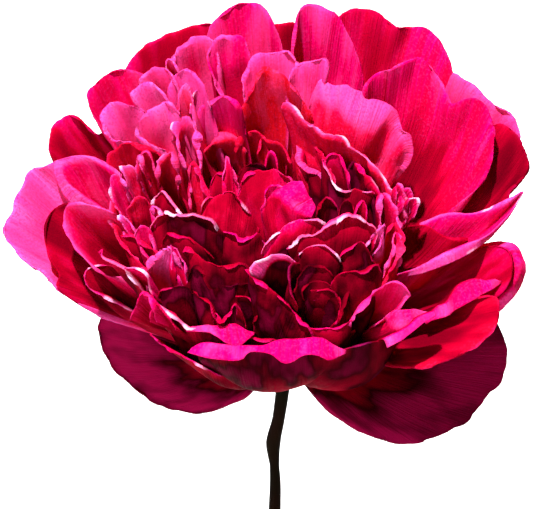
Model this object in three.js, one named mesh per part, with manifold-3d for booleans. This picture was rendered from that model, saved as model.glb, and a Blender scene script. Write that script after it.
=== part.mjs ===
// A potted double peony: one full crimson-pink bloom on a leafy stem, two leafy side shoots, soil and a plain
// clay pot. Millimetres, +Z up. The origin is the centre of the pot's foot, on the surface that it stands on.
// The bloom's front looks along -Y. A heading of 0 degrees points that way, 90 is +X, 180 is +Y and -90 is -X.
import * as THREE from "three";
import { mergeVertices } from "three/addons/utils/BufferGeometryUtils.js";
import Module from "manifold-3d";

const wasm = await Module();
wasm.setup();

const GAP = 0.3; // clearance where one piece rests on another

// Pot sizes
const POT_HEIGHT = 160;
const POT_FOOT_RADIUS = 68;
const POT_BODY_TOP_RADIUS = 92;
const POT_RIM_RADIUS = 100;
const POT_RIM_HEIGHT = 30;
const POT_WALL = 6;
const POT_FLOOR = 9;
const POT_EDGE = 1.5; // bevel of the pot's edges
const POT_SIDES = 32;
const DRAIN_HOLES = 4;
const DRAIN_HOLE_RADIUS = 6;
const DRAIN_HOLE_SIDES = 12;
const DRAIN_HOLE_CIRCLE = 38; // radius of the circle that the holes lie on

// Soil sizes
const SOIL_TOP = 143;
const SOIL_WALL_DROP = 2; // how far the soil lies below its top where it meets the pot
const SOIL_RINGS = 4;
const SOIL_BUMP = 1.6;
const STEM_HOLE_SIDES = 12;
const STEM_HOLE_CLEARANCE = 0.5;
const STEM_FOOT = 113.5; // height of the buried stem ends

// Bloom sizes: its base stands at BLOOM_BASE, and its axis leans towards the front
const BLOOM_BASE = new THREE.Vector3(4, 0, 455);
const BLOOM_LEAN = 15;
const CORE_SIDES = 12;
const PETAL_THICKNESS = 0.9;
const PETAL_CLAW = 0.2; // width at the root, as a share of the full width
const PETAL_TIP = 0.42; // share of the length that the rounded tip takes
const PETAL_WIDEST = 0.8; // where along the petal it reaches its full width
const SWELL_POWER = 1.1; // how soon it widens
const FLIP_START = 0.7; // where along the petal the turned-back rim starts
const ROOT_CUP = 0.35; // how much of the cup the root already has
const MIDRIB_STEPS = 48;
const SEPALS = 5;
const SEPAL_TURN = 20; // heading of the first sepal
const CUP_SIDES = 10;

// Leaf and stem sizes
const LEAF_THICKNESS = 0.9;
const LEAF_SLOPE = 50; // degrees at which a leaf's stalk leaves its stem
const LEAF_DROP = 38; // degrees that the stalk bends over on its way to its fork
const LEAF_FOLD = 14; // degrees that each half of a leaflet rises from its rib
const BRANCH_SPREAD = 64; // degrees between the three parts of a leaf
const LEAFLET_SPREAD = 42; // degrees between the leaflets of one part
const LEAFLET_ROLL = 6; // degrees that an outer leaflet turns about its rib
const LEAFLET_ARCH = 44; // degrees that a leaflet bends over from root to tip
const SIDE_SETBACK = 0.25; // where side parts leave a stalk, back from its end as a share of its last length
const TIP_SETBACK = 0.06; // how far the end part's root is sunk in, in the same way
const STEM_SIDES = 6;
const STEM_STEPS = 9;
const STALK_SIDES = 4;

const rad = THREE.MathUtils.degToRad;
const lerp = THREE.MathUtils.lerp;
const GOLDEN_ANGLE = 2.39996; // radians

// Level unit vectors of a heading: along it, and a quarter turn from it.
const outward = (heading) => new THREE.Vector3(Math.sin(rad(heading)), -Math.cos(rad(heading)), 0);
const across = (heading) => new THREE.Vector3(Math.cos(rad(heading)), Math.sin(rad(heading)), 0);

// Solids: joining, cutting and the basic shapes

function toSolid(geometry) {
  const bare = new THREE.BufferGeometry()
    .setAttribute("position", geometry.getAttribute("position"))
    .setIndex(geometry.index);
  const merged = mergeVertices(bare, 1e-4);
  return new wasm.Manifold(
    new wasm.Mesh({
      numProp: 3,
      vertProperties: new Float32Array(merged.attributes.position.array),
      triVerts: new Uint32Array(merged.index.array),
    }),
  );
}

function toGeometry(solid) {
  const mesh = solid.getMesh();
  const positions = new Float32Array(mesh.numVert * 3);
  for (let i = 0; i < mesh.numVert; i++)
    positions.set(mesh.vertProperties.subarray(i * mesh.numProp, i * mesh.numProp + 3), i * 3);
  return indexedGeometry(positions, mesh.triVerts);
}

function indexedGeometry(positions, index) {
  return new THREE.BufferGeometry()
    .setAttribute("position", new THREE.BufferAttribute(new Float32Array(positions), 3))
    .setIndex(new THREE.BufferAttribute(new Uint32Array(index), 1));
}

// The union of some solids as one closed body: loose scraps are dropped and sealed hollows are filled.
function fuse(solids) {
  const bodies = solids.reduce((all, solid) => all.add(solid)).decompose();
  return bodies.reduce((a, b) => (b.volume() > a.volume() ? b : a));
}

// A closed blade of even thickness about grid[i][j], a grid of points; both faces are split alike.
function bladeSolid(grid, thickness) {
  const rows = grid.length;
  const columns = grid[0].length;
  const positions = [];
  for (const side of [1, -1])
    for (let i = 0; i < rows; i++)
      for (let j = 0; j < columns; j++) {
        const before = grid[Math.max(i - 1, 0)][j];
        const after = grid[Math.min(i + 1, rows - 1)][j];
        const left = grid[i][Math.max(j - 1, 0)];
        const right = grid[i][Math.min(j + 1, columns - 1)];
        const normal = after.clone().sub(before).cross(right.clone().sub(left)).normalize();
        const point = grid[i][j].clone().addScaledVector(normal, (side * thickness) / 2);
        positions.push(...point.toArray());
      }
  const top = (i, j) => i * columns + j;
  const under = rows * columns;
  const index = [];
  for (let i = 0; i < rows - 1; i++)
    for (let j = 0; j < columns - 1; j++) {
      const [a, b, c, d] = [top(i, j), top(i + 1, j), top(i + 1, j + 1), top(i, j + 1)];
      index.push(a, b, c, a, c, d);
      index.push(under + a, under + c, under + b, under + a, under + d, under + c);
    }
  const rim = [];
  for (let i = 0; i < rows - 1; i++) rim.push([top(i, 0), top(i + 1, 0)]);
  for (let j = 0; j < columns - 1; j++) rim.push([top(rows - 1, j), top(rows - 1, j + 1)]);
  for (let i = rows - 1; i > 0; i--) rim.push([top(i, columns - 1), top(i - 1, columns - 1)]);
  for (let j = columns - 1; j > 0; j--) rim.push([top(0, j), top(0, j - 1)]);
  for (const [a, b] of rim) index.push(b, a, under + a, b, under + a, under + b);
  return toSolid(indexedGeometry(positions, index));
}

// A closed tube through some points, with its radius at each.
function tubeSolid(points, radii, sides) {
  const positions = [];
  const index = [];
  points.forEach((point, i) => {
    const before = points[Math.max(i - 1, 0)];
    const after = points[Math.min(i + 1, points.length - 1)];
    const forward = after.clone().sub(before).normalize();
    const steep = Math.abs(forward.z) > 0.9;
    const reference = steep ? new THREE.Vector3(1, 0, 0) : new THREE.Vector3(0, 0, 1);
    const u = reference.cross(forward).normalize();
    const v = forward.clone().cross(u);
    for (let k = 0; k < sides; k++) {
      const turn = (2 * Math.PI * k) / sides;
      const corner = point.clone().addScaledVector(u, radii[i] * Math.cos(turn));
      positions.push(...corner.addScaledVector(v, radii[i] * Math.sin(turn)).toArray());
    }
  });
  const last = (points.length - 1) * sides;
  for (let ring = 0; ring < last; ring += sides)
    for (let k = 0; k < sides; k++) {
      const a = ring + k;
      const b = ring + ((k + 1) % sides);
      index.push(a, b, b + sides, a, b + sides, a + sides);
    }
  for (let k = 1; k < sides - 1; k++) {
    index.push(0, k + 1, k);
    index.push(last, last + k, last + k + 1);
  }
  return toSolid(indexedGeometry(positions, index));
}

// A profile of [radius, height] points turned about the upright axis.
function latheGeometry(profile, sides) {
  const points = profile.map(([r, z]) => new THREE.Vector2(r, z));
  return new THREE.LatheGeometry(points, sides).rotateX(Math.PI / 2);
}

// An upright round pin from one height up to another, used to cut a hole.
function pinSolid(x, y, bottom, top, radius, sides) {
  const geometry = new THREE.CylinderGeometry(radius, radius, top - bottom, sides);
  geometry.rotateX(Math.PI / 2);
  geometry.translate(x, y, (bottom + top) / 2);
  return toSolid(geometry);
}

// Petals
// Each row: heading, root radius, root height, length, width, slope at the root, slope at the tip, cup (how far
// the edges curl in), flip (how far the rim turns back), lean to the side, twist and ruffle depth.
// Angles are in degrees.

const PETAL_TABLES = {
  guard: [
    [-60, 6, 0, 58, 54, 26, 16, 12, 0, 0, 0, 1],
    [60, 6, 0, 68, 64, 22, 0, 20, 0, 0, 0, 1],
    [-99, 6, 2, 96, 62, 36, 20, 10, 0, 0, 0, 1.5],
    [-82, 6, 4, 84, 58, 46, 28, 25, 0, 0, 0, 1],
    [-120, 6, 4, 94, 50, 46, 40, 25, 0, 0, 0, 1],
    [-133, 6, 6, 96, 54, 52, 44, 25, 0, 0, 0, 1],
    [-150, 6, 4, 102, 66, 50, 48, 10, 0, 0, 0, 1],
    [-174, 6, 6, 102, 40, 58, 58, 20, 0, 0, 0, 1],
    [170, 6, 6, 102, 44, 58, 58, 20, 0, 0, 0, 1],
    [148, 6, 4, 104, 80, 52, 52, 20, 0, 0, 0, 1],
    [125, 6, 2, 102, 50, 46, 42, 15, 0, 0, 0, 1],
    [113, 6, 8, 88, 76, 52, 44, 30, 0, 0, 0, 1],
    [104, 6, 4, 92, 56, 44, 36, 20, 0, 0, 0, 1],
    [92, 6, 6, 84, 40, 34, 40, 45, 0, 0, 0, 1],
    [78, 6, 4, 82, 50, 36, 26, 40, 0, 0, 0, 1],
    [62, 6, 6, 72, 56, 34, 24, 45, 0, 0, 0, 1],
    [-6, 6, 2, 54, 54, 4, 84, 30, 40, 0, 0, 1],
    [-36, 6, 4, 62, 48, 30, 40, 30, 0, 0, 0, 1],
    [32, 6, 6, 58, 48, 42, 46, 30, 0, 0, 0, 1],
  ],
  middle: [
    [-160, 6, 10, 90, 42, 62, 62, 30, 0, 0, 0, 1],
    [176, 6, 10, 88, 44, 66, 65, 30, 0, 0, 0, 1],
    [137, 6, 10, 88, 64, 58, 52, 25, 0, 0, 0, 1],
    [142, 6, 14, 84, 60, 64, 68, 30, 85, 0, 0, 1],
    [-140, 6, 12, 84, 44, 58, 54, 30, 0, 0, 0, 1],
    [-118, 6, 12, 72, 40, 56, 54, 40, 0, 0, 0, 1],
    [-90, 6, 12, 68, 34, 52, 56, 50, 0, 0, 0, 1],
    [112, 8, 14, 63, 60, 64, 70, 30, 0, 0, 0, 1],
  ],
  crown: [
    [-168, 8, 16, 56, 46, 66, 78, 35, 0, 0, 0, 1],
    [145, 8, 16, 54, 44, 66, 76, 40, 0, 0, 0, 1],
    [-125, 8, 16, 55, 34, 66, 72, 50, 0, 0, 30, 1],
    [-38, 8, 16, 58, 48, 58, 76, 35, 0, 0, 0, 1],
    [20, 4, 16, 48, 42, 76, 84, 45, 0, 0, 0, 1],
    [52, 6, 16, 52, 44, 70, 78, 45, 0, 0, 0, 1],
    [50, 6, 10, 52, 40, 42, 52, 45, 0, 0, 0, 1],
    [-95, 4, 16, 52, 30, 72, 84, 35, 0, 0, 0, 1],
  ],
};

// How finely each group of petals is faceted, along and across.
const PETAL_FACETS = { guard: [4, 4], middle: [3, 3], crown: [2, 3], whorl: [2, 2] };

// Small whorls inside the crown: where each stands in the bloom, where it leans, and its petals.
const WHORLS = [
  { centre: [4, -11, 20], heading: 10, lean: 34, petals: 4, length: 40, width: 30 },
  { centre: [-16, -11, 18], heading: -52, lean: 38, petals: 3, length: 40, width: 28 },
  { centre: [-16, 10, 20], heading: -110, lean: 22, petals: 2, length: 44, width: 28 },
  { centre: [14, 6, 20], heading: 80, lean: 20, petals: 3, length: 42, width: 28 },
];
const WHORL_ROW = { radius: 2, slopes: [70, 82], cup: 50 };
const WHORL_START = 20; // heading of the first petal
const WHORL_TURN = 25; // turn of each whorl past the one before
const WHORL_SEED = 60;

// Waves of a ruffled edge: how many, how their phase steps from petal to petal, and their share of the depth.
const RUFFLES = [
  [5, 1, 1],
  [9, 2.1, 0.6],
];

// The closed heart of the bloom, which all petals stand out of.
const CORE_BASE = -3;
const CORE_PROFILE = [
  [0, CORE_BASE],
  [12, CORE_BASE],
  [22, 1],
  [28, 12],
  [27, 28],
  [18, 42],
  [0, 46],
];

// The middle line of a petal, followed from root to tip: how far out, how far up, how far aside, and its slope.
function midrib(length, slope0, slope1, flip, lean) {
  const radius = [0];
  const height = [0];
  const drift = [0];
  const slope = [];
  for (let k = 0; k <= MIDRIB_STEPS; k++) {
    const s = k / MIDRIB_STEPS;
    const turn = THREE.MathUtils.smoothstep(s, FLIP_START, 1);
    slope.push(rad(lerp(slope0, slope1, s) - flip * turn));
    if (k === 0) continue;
    const middle = (slope[k] + slope[k - 1]) / 2;
    const step = length / MIDRIB_STEPS;
    radius.push(radius[k - 1] + Math.cos(middle) * step);
    height.push(height[k - 1] + Math.sin(middle) * step);
    drift.push(drift[k - 1] + Math.sin(rad(lean) * s) * step);
  }
  return (s) => {
    const k = Math.min(MIDRIB_STEPS - 1, Math.floor(s * MIDRIB_STEPS));
    return [radius, height, drift, slope].map((values) =>
      lerp(values[k], values[k + 1], s * MIDRIB_STEPS - k),
    );
  };
}

// Points of a petal's middle surface in the bloom's own frame, as a grid along and across it.
function petalGrid(row, [along, wide], seed) {
  const [heading, rootRadius, rootHeight, length, width, slope0, slope1, cup, flip, lean, twist, ruffle] = row;
  const rib = midrib(length, slope0, slope1, flip, lean);
  const phase = seed * GOLDEN_ANGLE;
  const grid = [];
  for (let i = 0; i <= along; i++) {
    const u = i / along;
    const swell = Math.sin((Math.PI / 2) * Math.min(1, u / PETAL_WIDEST)) ** SWELL_POWER;
    const line = [];
    for (let j = 0; j <= wide; j++) {
      const turn = ((2 * j) / wide - 1) * (Math.PI / 2);
      const v = Math.sin(turn);
      const s = (1 - PETAL_TIP) * u + PETAL_TIP * u * u * Math.cos(turn);
      const [radius, height, drift, tilt] = rib(s);
      const x = (width / 2) * lerp(PETAL_CLAW, 1, swell) * v;
      const curl = width / 2 / Math.max(1e-3, rad(cup) * lerp(ROOT_CUP, 1, s));
      const q = Math.atan2(x / (width / 2), s - 0.3);
      const edge = (1 - (1 - Math.abs(v) ** 3) * (1 - u ** 4)) * u;
      const wave = RUFFLES.reduce((sum, [f, p, share]) => sum + share * Math.sin(f * q + p * phase), 0);
      const inward = curl * (1 - Math.cos(x / curl)) + ruffle * edge * wave;
      const sideways = curl * Math.sin(x / curl);
      const roll = rad(twist) * s;
      const b = sideways * Math.cos(roll) - inward * Math.sin(roll) + drift;
      const n = sideways * Math.sin(roll) + inward * Math.cos(roll);
      line.push(
        outward(heading)
          .multiplyScalar(rootRadius + radius - Math.sin(tilt) * n)
          .addScaledVector(across(heading), b)
          .setZ(rootHeight + height + Math.cos(tilt) * n),
      );
    }
    grid.push(line);
  }
  return grid;
}

function whorlPetals({ centre, heading, lean, petals, length, width }, number) {
  const { radius, slopes, cup } = WHORL_ROW;
  const place = new THREE.Matrix4()
    .makeTranslation(...centre)
    .multiply(new THREE.Matrix4().makeRotationAxis(across(heading), rad(lean)));
  const solids = [];
  for (let k = 0; k < petals; k++) {
    const petalHeading = WHORL_START + WHORL_TURN * number + (360 / petals) * k;
    const row = [petalHeading, radius, 0, length, width, ...slopes, cup, 0, 0, 0, 1];
    const grid = petalGrid(row, PETAL_FACETS.whorl, WHORL_SEED + 7 * number + k);
    for (const point of grid.flat()) point.applyMatrix4(place);
    solids.push(bladeSolid(grid, PETAL_THICKNESS));
  }
  return solids;
}

function bloomSolid() {
  const solids = [toSolid(latheGeometry(CORE_PROFILE, CORE_SIDES))];
  let seed = 0;
  for (const [group, rows] of Object.entries(PETAL_TABLES))
    for (const row of rows)
      solids.push(bladeSolid(petalGrid(row, PETAL_FACETS[group], seed++), PETAL_THICKNESS));
  WHORLS.forEach((whorl, number) => solids.push(...whorlPetals(whorl, number)));
  return fuse(solids);
}

// The green cup under the bloom: a swollen stem end and its sepals, in the bloom's own frame.
const CUP_TOP = CORE_BASE - GAP;
const CUP_PROFILE = [
  [0, -9],
  [3.2, -9],
  [6.5, -6.5],
  [8.8, CUP_TOP],
  [0, CUP_TOP],
];
const SEPAL_ROW = [4, -5, 17, 14, 0, 26, 6, 0, 0, 0, 0]; // a petal's row without its heading
const SEPAL_FACETS = [3, 2];

function calyxSolids() {
  const solids = [toSolid(latheGeometry(CUP_PROFILE, CUP_SIDES))];
  for (let k = 0; k < SEPALS; k++) {
    const row = [SEPAL_TURN + (360 / SEPALS) * k, ...SEPAL_ROW];
    solids.push(bladeSolid(petalGrid(row, SEPAL_FACETS, 0), PETAL_THICKNESS));
  }
  return solids;
}

// Leaves

const LEAFLET_STATIONS = [0, 0.35, 0.7, 1];
const LEAFLET_ROOT = 0.08; // width at the root, as a share of the full width
const leafletWidth = (u) => lerp(LEAFLET_ROOT, 1, Math.max(0, Math.sin(Math.PI * u)) ** 1.2);

// One leaflet: its rib arches over, and its two halves rise from the rib.
function leafletSolid(root, heading, length, width, slope, roll) {
  const out = outward(heading);
  const side = across(heading);
  const grid = LEAFLET_STATIONS.map((u) => {
    const here = rad(slope - LEAFLET_ARCH * u);
    const mean = rad(slope - (LEAFLET_ARCH * u) / 2);
    const rib = root.clone().addScaledVector(out, length * u * Math.cos(mean));
    rib.z += length * u * Math.sin(mean);
    const normal = out.clone().multiplyScalar(-Math.sin(here)).setZ(Math.cos(here));
    const half = (width / 2) * leafletWidth(u);
    return [-1, 0, 1].map((t) => {
      const rise = rad(LEAF_FOLD) * Math.abs(t) + rad(roll) * t;
      return rib
        .clone()
        .addScaledVector(side, t * half * Math.cos(rise))
        .addScaledVector(normal, half * Math.abs(t) * Math.sin(rise));
    });
  });
  return bladeSolid(grid, LEAF_THICKNESS);
}

// The points of a stalk that bends from one slope to another.
function stalkPoints(root, heading, length, slope0, slope1, steps) {
  const points = [root.clone()];
  for (let k = 0; k < steps; k++) {
    const slope = rad(lerp(slope0, slope1, (k + 0.5) / steps));
    const next = points[k].clone().addScaledVector(outward(heading), (length / steps) * Math.cos(slope));
    next.z += (length / steps) * Math.sin(slope);
    points.push(next);
  }
  return points;
}

// A compound leaf: a stalk that parts in three, with one or three leaflets on each part.
const STALK_RADII = [2.0, 1.7, 1.5, 1.3];
const TWIG_RADII = [1.2, 0.9];
const MIDDLE = { reach: 0.5, length: 1, width: 0.32 }; // shares of the leaf's size
const SIDE = { reach: 0.3, length: 0.8, width: 0.28 };

function leafSolids({ root, heading, stalk, size, leaflets }) {
  const flat = LEAF_SLOPE - LEAF_DROP;
  const main = stalkPoints(root, heading, stalk, LEAF_SLOPE, flat, STALK_RADII.length - 1);
  const fork = main.at(-1);
  const lowerFork = fork.clone().lerp(main.at(-2), SIDE_SETBACK);
  const solids = [tubeSolid(main, STALK_RADII, STALK_SIDES)];
  for (const branch of [0, -1, 1]) {
    const direction = heading + BRANCH_SPREAD * branch;
    const start = branch === 0 ? fork.clone().lerp(lowerFork, 0.5) : lowerFork;
    const reach = size * (branch === 0 ? MIDDLE : SIDE).reach;
    const twig = stalkPoints(start, direction, reach, flat - 2, flat - 8, 1);
    solids.push(tubeSolid(twig, TWIG_RADII, STALK_SIDES));
    const threefold = leaflets === 9 || (leaflets === 5 && branch === 0);
    for (const part of threefold ? [0, -1, 1] : [0]) {
      const share = part === 0 ? MIDDLE : SIDE;
      solids.push(
        leafletSolid(
          twig[1].clone().lerp(start, part === 0 ? TIP_SETBACK : SIDE_SETBACK),
          direction + LEAFLET_SPREAD * part,
          size * share.length,
          size * share.width,
          flat - 6,
          LEAFLET_ROLL * (part + branch),
        ),
      );
    }
  }
  return solids;
}

// Stems: a path starts where the stem leaves the soil, and below that the stem runs straight down.
// The "at" of a leaf is its place along the path, from 0 to 1.
const STEMS = {
  flower_stem: {
    path: [
      [0, 0, 152],
      [1, 3, 225],
      [-1, 5, 310],
      [1.1, 7.5, 399],
      [0.5, 6.5, 418],
      [3.6, 3.4, 441],
      [4, 1.1, 450],
    ],
    radii: [3.6, 3.4, 3, 2.2, 2.3, 2.6, 3.2],
    leaves: [
      { at: 0.14, heading: 165, stalk: 70, size: 66, leaflets: 9 },
      { at: 0.2, heading: 28, stalk: 66, size: 66, leaflets: 9 },
      { at: 0.27, heading: -105, stalk: 56, size: 62, leaflets: 5 },
      { at: 0.33, heading: 100, stalk: 46, size: 58, leaflets: 3 },
    ],
  },
  left_shoot: {
    path: [
      [-36, 12, 152],
      [-40, 13, 180],
      [-54, 17, 220],
      [-72, 22, 252],
    ],
    radii: [3, 2.8, 2.4, 1.8],
    leaves: [
      { at: 0.3, heading: -150, stalk: 50, size: 60, leaflets: 9 },
      { at: 0.5, heading: -50, stalk: 50, size: 62, leaflets: 5 },
      { at: 0.97, heading: -100, stalk: 36, size: 58, leaflets: 5 },
    ],
  },
  right_shoot: {
    path: [
      [36, -8, 152],
      [42, -10, 178],
      [58, -13, 214],
      [76, -17, 244],
    ],
    radii: [3, 2.8, 2.4, 1.8],
    leaves: [
      { at: 0.3, heading: 35, stalk: 50, size: 60, leaflets: 9 },
      { at: 0.5, heading: 135, stalk: 50, size: 62, leaflets: 5 },
      { at: 0.97, heading: 84, stalk: 36, size: 58, leaflets: 5 },
    ],
  },
};

function stemSolids({ path, radii, leaves }) {
  const curve = new THREE.CatmullRomCurve3(path.map((point) => new THREE.Vector3(...point)));
  const points = [curve.getPoint(0).setZ(STEM_FOOT)];
  const sizes = [radii[0]];
  for (let k = 0; k <= STEM_STEPS; k++) {
    const place = (k / STEM_STEPS) * (radii.length - 1);
    const near = Math.min(radii.length - 2, Math.floor(place));
    points.push(curve.getPoint(k / STEM_STEPS));
    sizes.push(lerp(radii[near], radii[near + 1], place - near));
  }
  const solids = [tubeSolid(points, sizes, STEM_SIDES)];
  for (const { at, ...leaf } of leaves) solids.push(...leafSolids({ root: curve.getPoint(at), ...leaf }));
  return solids;
}

// Pot and soil

const POT_SHOULDER = POT_HEIGHT - POT_RIM_HEIGHT;
const POT_INNER = [
  [POT_FOOT_RADIUS - POT_WALL, POT_FLOOR],
  [POT_BODY_TOP_RADIUS - POT_WALL, POT_SHOULDER],
  [POT_RIM_RADIUS - POT_WALL - POT_EDGE, POT_HEIGHT],
];
const POT_PROFILE = [
  [0, 0],
  [POT_FOOT_RADIUS - POT_EDGE, 0],
  [POT_FOOT_RADIUS, POT_EDGE],
  [POT_BODY_TOP_RADIUS, POT_SHOULDER],
  [POT_RIM_RADIUS - 2 * POT_EDGE, POT_SHOULDER],
  [POT_RIM_RADIUS - POT_EDGE, POT_SHOULDER + POT_EDGE],
  [POT_RIM_RADIUS, POT_HEIGHT - POT_EDGE],
  [POT_RIM_RADIUS - POT_EDGE, POT_HEIGHT],
  ...POT_INNER.toReversed(),
  [0, POT_FLOOR],
];

function potSolid() {
  let pot = toSolid(latheGeometry(POT_PROFILE, POT_SIDES));
  for (let k = 0; k < DRAIN_HOLES; k++) {
    const { x, y } = outward((360 / DRAIN_HOLES) * (k + 0.5)).multiplyScalar(DRAIN_HOLE_CIRCLE);
    pot = pot.subtract(pinSolid(x, y, -POT_FLOOR, 2 * POT_FLOOR, DRAIN_HOLE_RADIUS, DRAIN_HOLE_SIDES));
  }
  return pot;
}

// The pot's inner radius at a height, less the gap.
function soilRadius(z) {
  const k = z > POT_SHOULDER ? 1 : 0;
  const share = THREE.MathUtils.inverseLerp(POT_INNER[k][1], POT_INNER[k + 1][1], z);
  return lerp(POT_INNER[k][0], POT_INNER[k + 1][0], share) - GAP;
}

// The soil's uneven top: low, broad swells.
function soilSwell(x, y) {
  return Math.sin(0.13 * x + 0.7) * Math.cos(0.17 * y) + 0.6 * Math.sin(0.31 * x - 0.27 * y);
}

function soilSolid() {
  const floor = POT_FLOOR + GAP;
  const edge = SOIL_TOP - SOIL_WALL_DROP;
  const profile = [[0, floor]];
  for (const z of [floor, POT_SHOULDER, edge]) profile.push([soilRadius(z), z]);
  for (let ring = SOIL_RINGS - 1; ring >= 0; ring--)
    profile.push([(soilRadius(edge) * ring) / SOIL_RINGS, SOIL_TOP]);
  const geometry = latheGeometry(profile, POT_SIDES);
  const positions = geometry.getAttribute("position");
  for (let i = 0; i < positions.count; i++)
    if (positions.getZ(i) > edge + 1)
      positions.setZ(i, SOIL_TOP + SOIL_BUMP * soilSwell(positions.getX(i), positions.getY(i)));
  let soil = toSolid(geometry);
  for (const { path, radii } of Object.values(STEMS)) {
    const [x, y, top] = path[0];
    const radius = radii[0] + STEM_HOLE_CLEARANCE;
    soil = soil.subtract(pinSolid(x, y, STEM_FOOT - GAP, top, radius, STEM_HOLE_SIDES));
  }
  return soil;
}

// Assembly

const clay = new THREE.MeshStandardMaterial({ color: 0xb5653a, roughness: 0.85, metalness: 0 });
const earth = new THREE.MeshStandardMaterial({ color: 0x2e2118, roughness: 1, metalness: 0 });
const leafGreen = new THREE.MeshStandardMaterial({ color: 0x2f5a26, roughness: 0.5, metalness: 0 });
const petalPink = new THREE.MeshStandardMaterial({ color: 0xd80a58, roughness: 0.45, metalness: 0 });

const group = new THREE.Group();
group.name = "potted_peony";

function addNode(parent, name, solid, material) {
  const mesh = new THREE.Mesh(toGeometry(solid), material.clone());
  mesh.name = name;
  parent.add(mesh);
}

addNode(group, "pot", potSolid(), clay);
addNode(group, "soil", soilSolid(), earth);

const bloomFrame = new THREE.Matrix4()
  .makeTranslation(BLOOM_BASE)
  .multiply(new THREE.Matrix4().makeRotationX(rad(BLOOM_LEAN)));
const bloomGroup = new THREE.Group();
bloomGroup.applyMatrix4(bloomFrame);
group.add(bloomGroup);
addNode(bloomGroup, "bloom", bloomSolid(), petalPink);

for (const [name, stem] of Object.entries(STEMS)) {
  const solids = stemSolids(stem);
  if (name === "flower_stem")
    for (const solid of calyxSolids()) solids.push(solid.transform(bloomFrame.toArray()));
  addNode(group, name, fuse(solids), leafGreen);
}

export default group;
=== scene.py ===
from math import cos, pi, radians, sin

import bpy
import numpy as np
from mathutils import Matrix, Vector


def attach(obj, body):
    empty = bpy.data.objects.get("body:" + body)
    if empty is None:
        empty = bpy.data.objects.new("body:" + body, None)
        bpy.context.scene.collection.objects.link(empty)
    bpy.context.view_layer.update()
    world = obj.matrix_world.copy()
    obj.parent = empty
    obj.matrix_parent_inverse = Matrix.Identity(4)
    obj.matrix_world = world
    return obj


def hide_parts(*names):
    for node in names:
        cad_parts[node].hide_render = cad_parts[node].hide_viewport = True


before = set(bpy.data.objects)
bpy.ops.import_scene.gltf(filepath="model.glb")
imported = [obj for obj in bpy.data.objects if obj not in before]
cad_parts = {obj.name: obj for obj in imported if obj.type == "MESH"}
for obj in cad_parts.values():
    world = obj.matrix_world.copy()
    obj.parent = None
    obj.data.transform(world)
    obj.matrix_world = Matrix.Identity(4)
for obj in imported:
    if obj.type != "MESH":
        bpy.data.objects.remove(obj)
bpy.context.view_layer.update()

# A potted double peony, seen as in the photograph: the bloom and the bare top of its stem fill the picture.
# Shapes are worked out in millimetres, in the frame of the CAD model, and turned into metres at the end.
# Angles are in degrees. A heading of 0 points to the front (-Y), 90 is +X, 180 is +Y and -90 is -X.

MM = 0.001
TINY = 1e-9  # the least length that a vector is divided by
LEAST_SPAN = 1e-6  # the shortest span of a curve, in mm

# The bloom's place and the thickness of its petals
BLOOM_BASE = np.array([4.0, 0.0, 455.0])
BLOOM_LEAN = 15
PETALS_IN_A_PIECE = 24
PETAL_THICKNESS = 0.55
RIM_THICKNESS = 0.3
THIN_RIM = 5  # petals thin out over this many mm
CORE_SIDES = 48

# The camera stands in front of the bloom and looks down on it
CAMERA_ELEVATION = 25
CAMERA_DISTANCE = 650
CAMERA_LENS = 137.2
SENSOR_WIDTH = 36
PICTURE_WIDTH = 533
PICTURE_HEIGHT = 509
CAMERA_TARGET = np.array([-0.64, 12.9, 482.7])

# Stems and stalks
STEM_FOOT = 113.5
STEM_POINTS = 60
STEM_SIDES = 16
STALK_STEPS = 12
STALK_SIDES = 10
STALK_RADII = (2.0, 1.7, 1.5, 1.3)
TWIG_STEPS = 4
TWIG_SIDES = 8
TWIG_RADII = (1.2, 0.8)
TUBE_SIDE = (0.31, 0.95, 0.05)  # no stem runs this way, so a tube's corners can be counted from it

# Leaves: a compound leaf has three twigs with one or three leaflets each. Setbacks are shares of a twig
# from its tip, and the leaflets' grid is the number of points along and across.
LEAF_SLOPE = 50
LEAF_DROP = 38
BRANCH_SPREAD = 64
TWIG_DROPS = (2, 8)
LEAFLET_DROP = 6
LEAFLET_SPREAD = 42
LEAFLET_ROLL = 6
LEAFLET_ARCH = 44
LEAFLET_FOLD = 14
LEAFLET_ROOT = 0.08
LEAFLET_GRID = (25, 15)
LEAFLET_TAPER = 1.2
LEAFLET_WAVE = 0.5
LEAFLET_WAVES = 5
LEAFLET_WAVE_SHIFT = 1.5
LEAFLET_SEEDS = 97
MIDDLE = dict(reach=0.5, length=1, width=0.32)  # shares of the leaf's size
SIDE = dict(reach=0.3, length=0.8, width=0.28)
SIDE_SETBACK = 0.25
TIP_SETBACK = 0.06
LEAF_THICKNESS = 0.6
LEAF_RIM_THICKNESS = 0.25
LEAF_THIN_RIM = 3
RIB_WIDTH = 0.7
RIB_DEPTH = 0.3
SIDE_VEINS = 9
VEIN_SLANT = 1.6
VEIN_SHARPNESS = 8
VEIN_END = 0.92
VEIN_DEPTH = 0.18
VEIN_PALENESS = 0.7

# The green cup under the bloom and its sepals
CUP_PROFILE = ((0, -9), (3.2, -9), (5.2, -7.8), (6.9, -6), (8.2, -4.4), (8.8, -3.3), (0, -3.3))
CUP_SIDES = 28
SEPALS = 5
SEPAL_TURN = 20
SEPAL_LENGTH = 10
SEPAL_WIDTH = 14
SEPAL_ROOT = 0.35
SEPAL_TAPER = 0.8
SEPAL_SLOPE = 13
SEPAL_HOLLOW = 0.4
SEPAL_THICKNESS = 0.8
SEPAL_START = (4, -5)
SEPAL_GRID = (16, 12)

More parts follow.
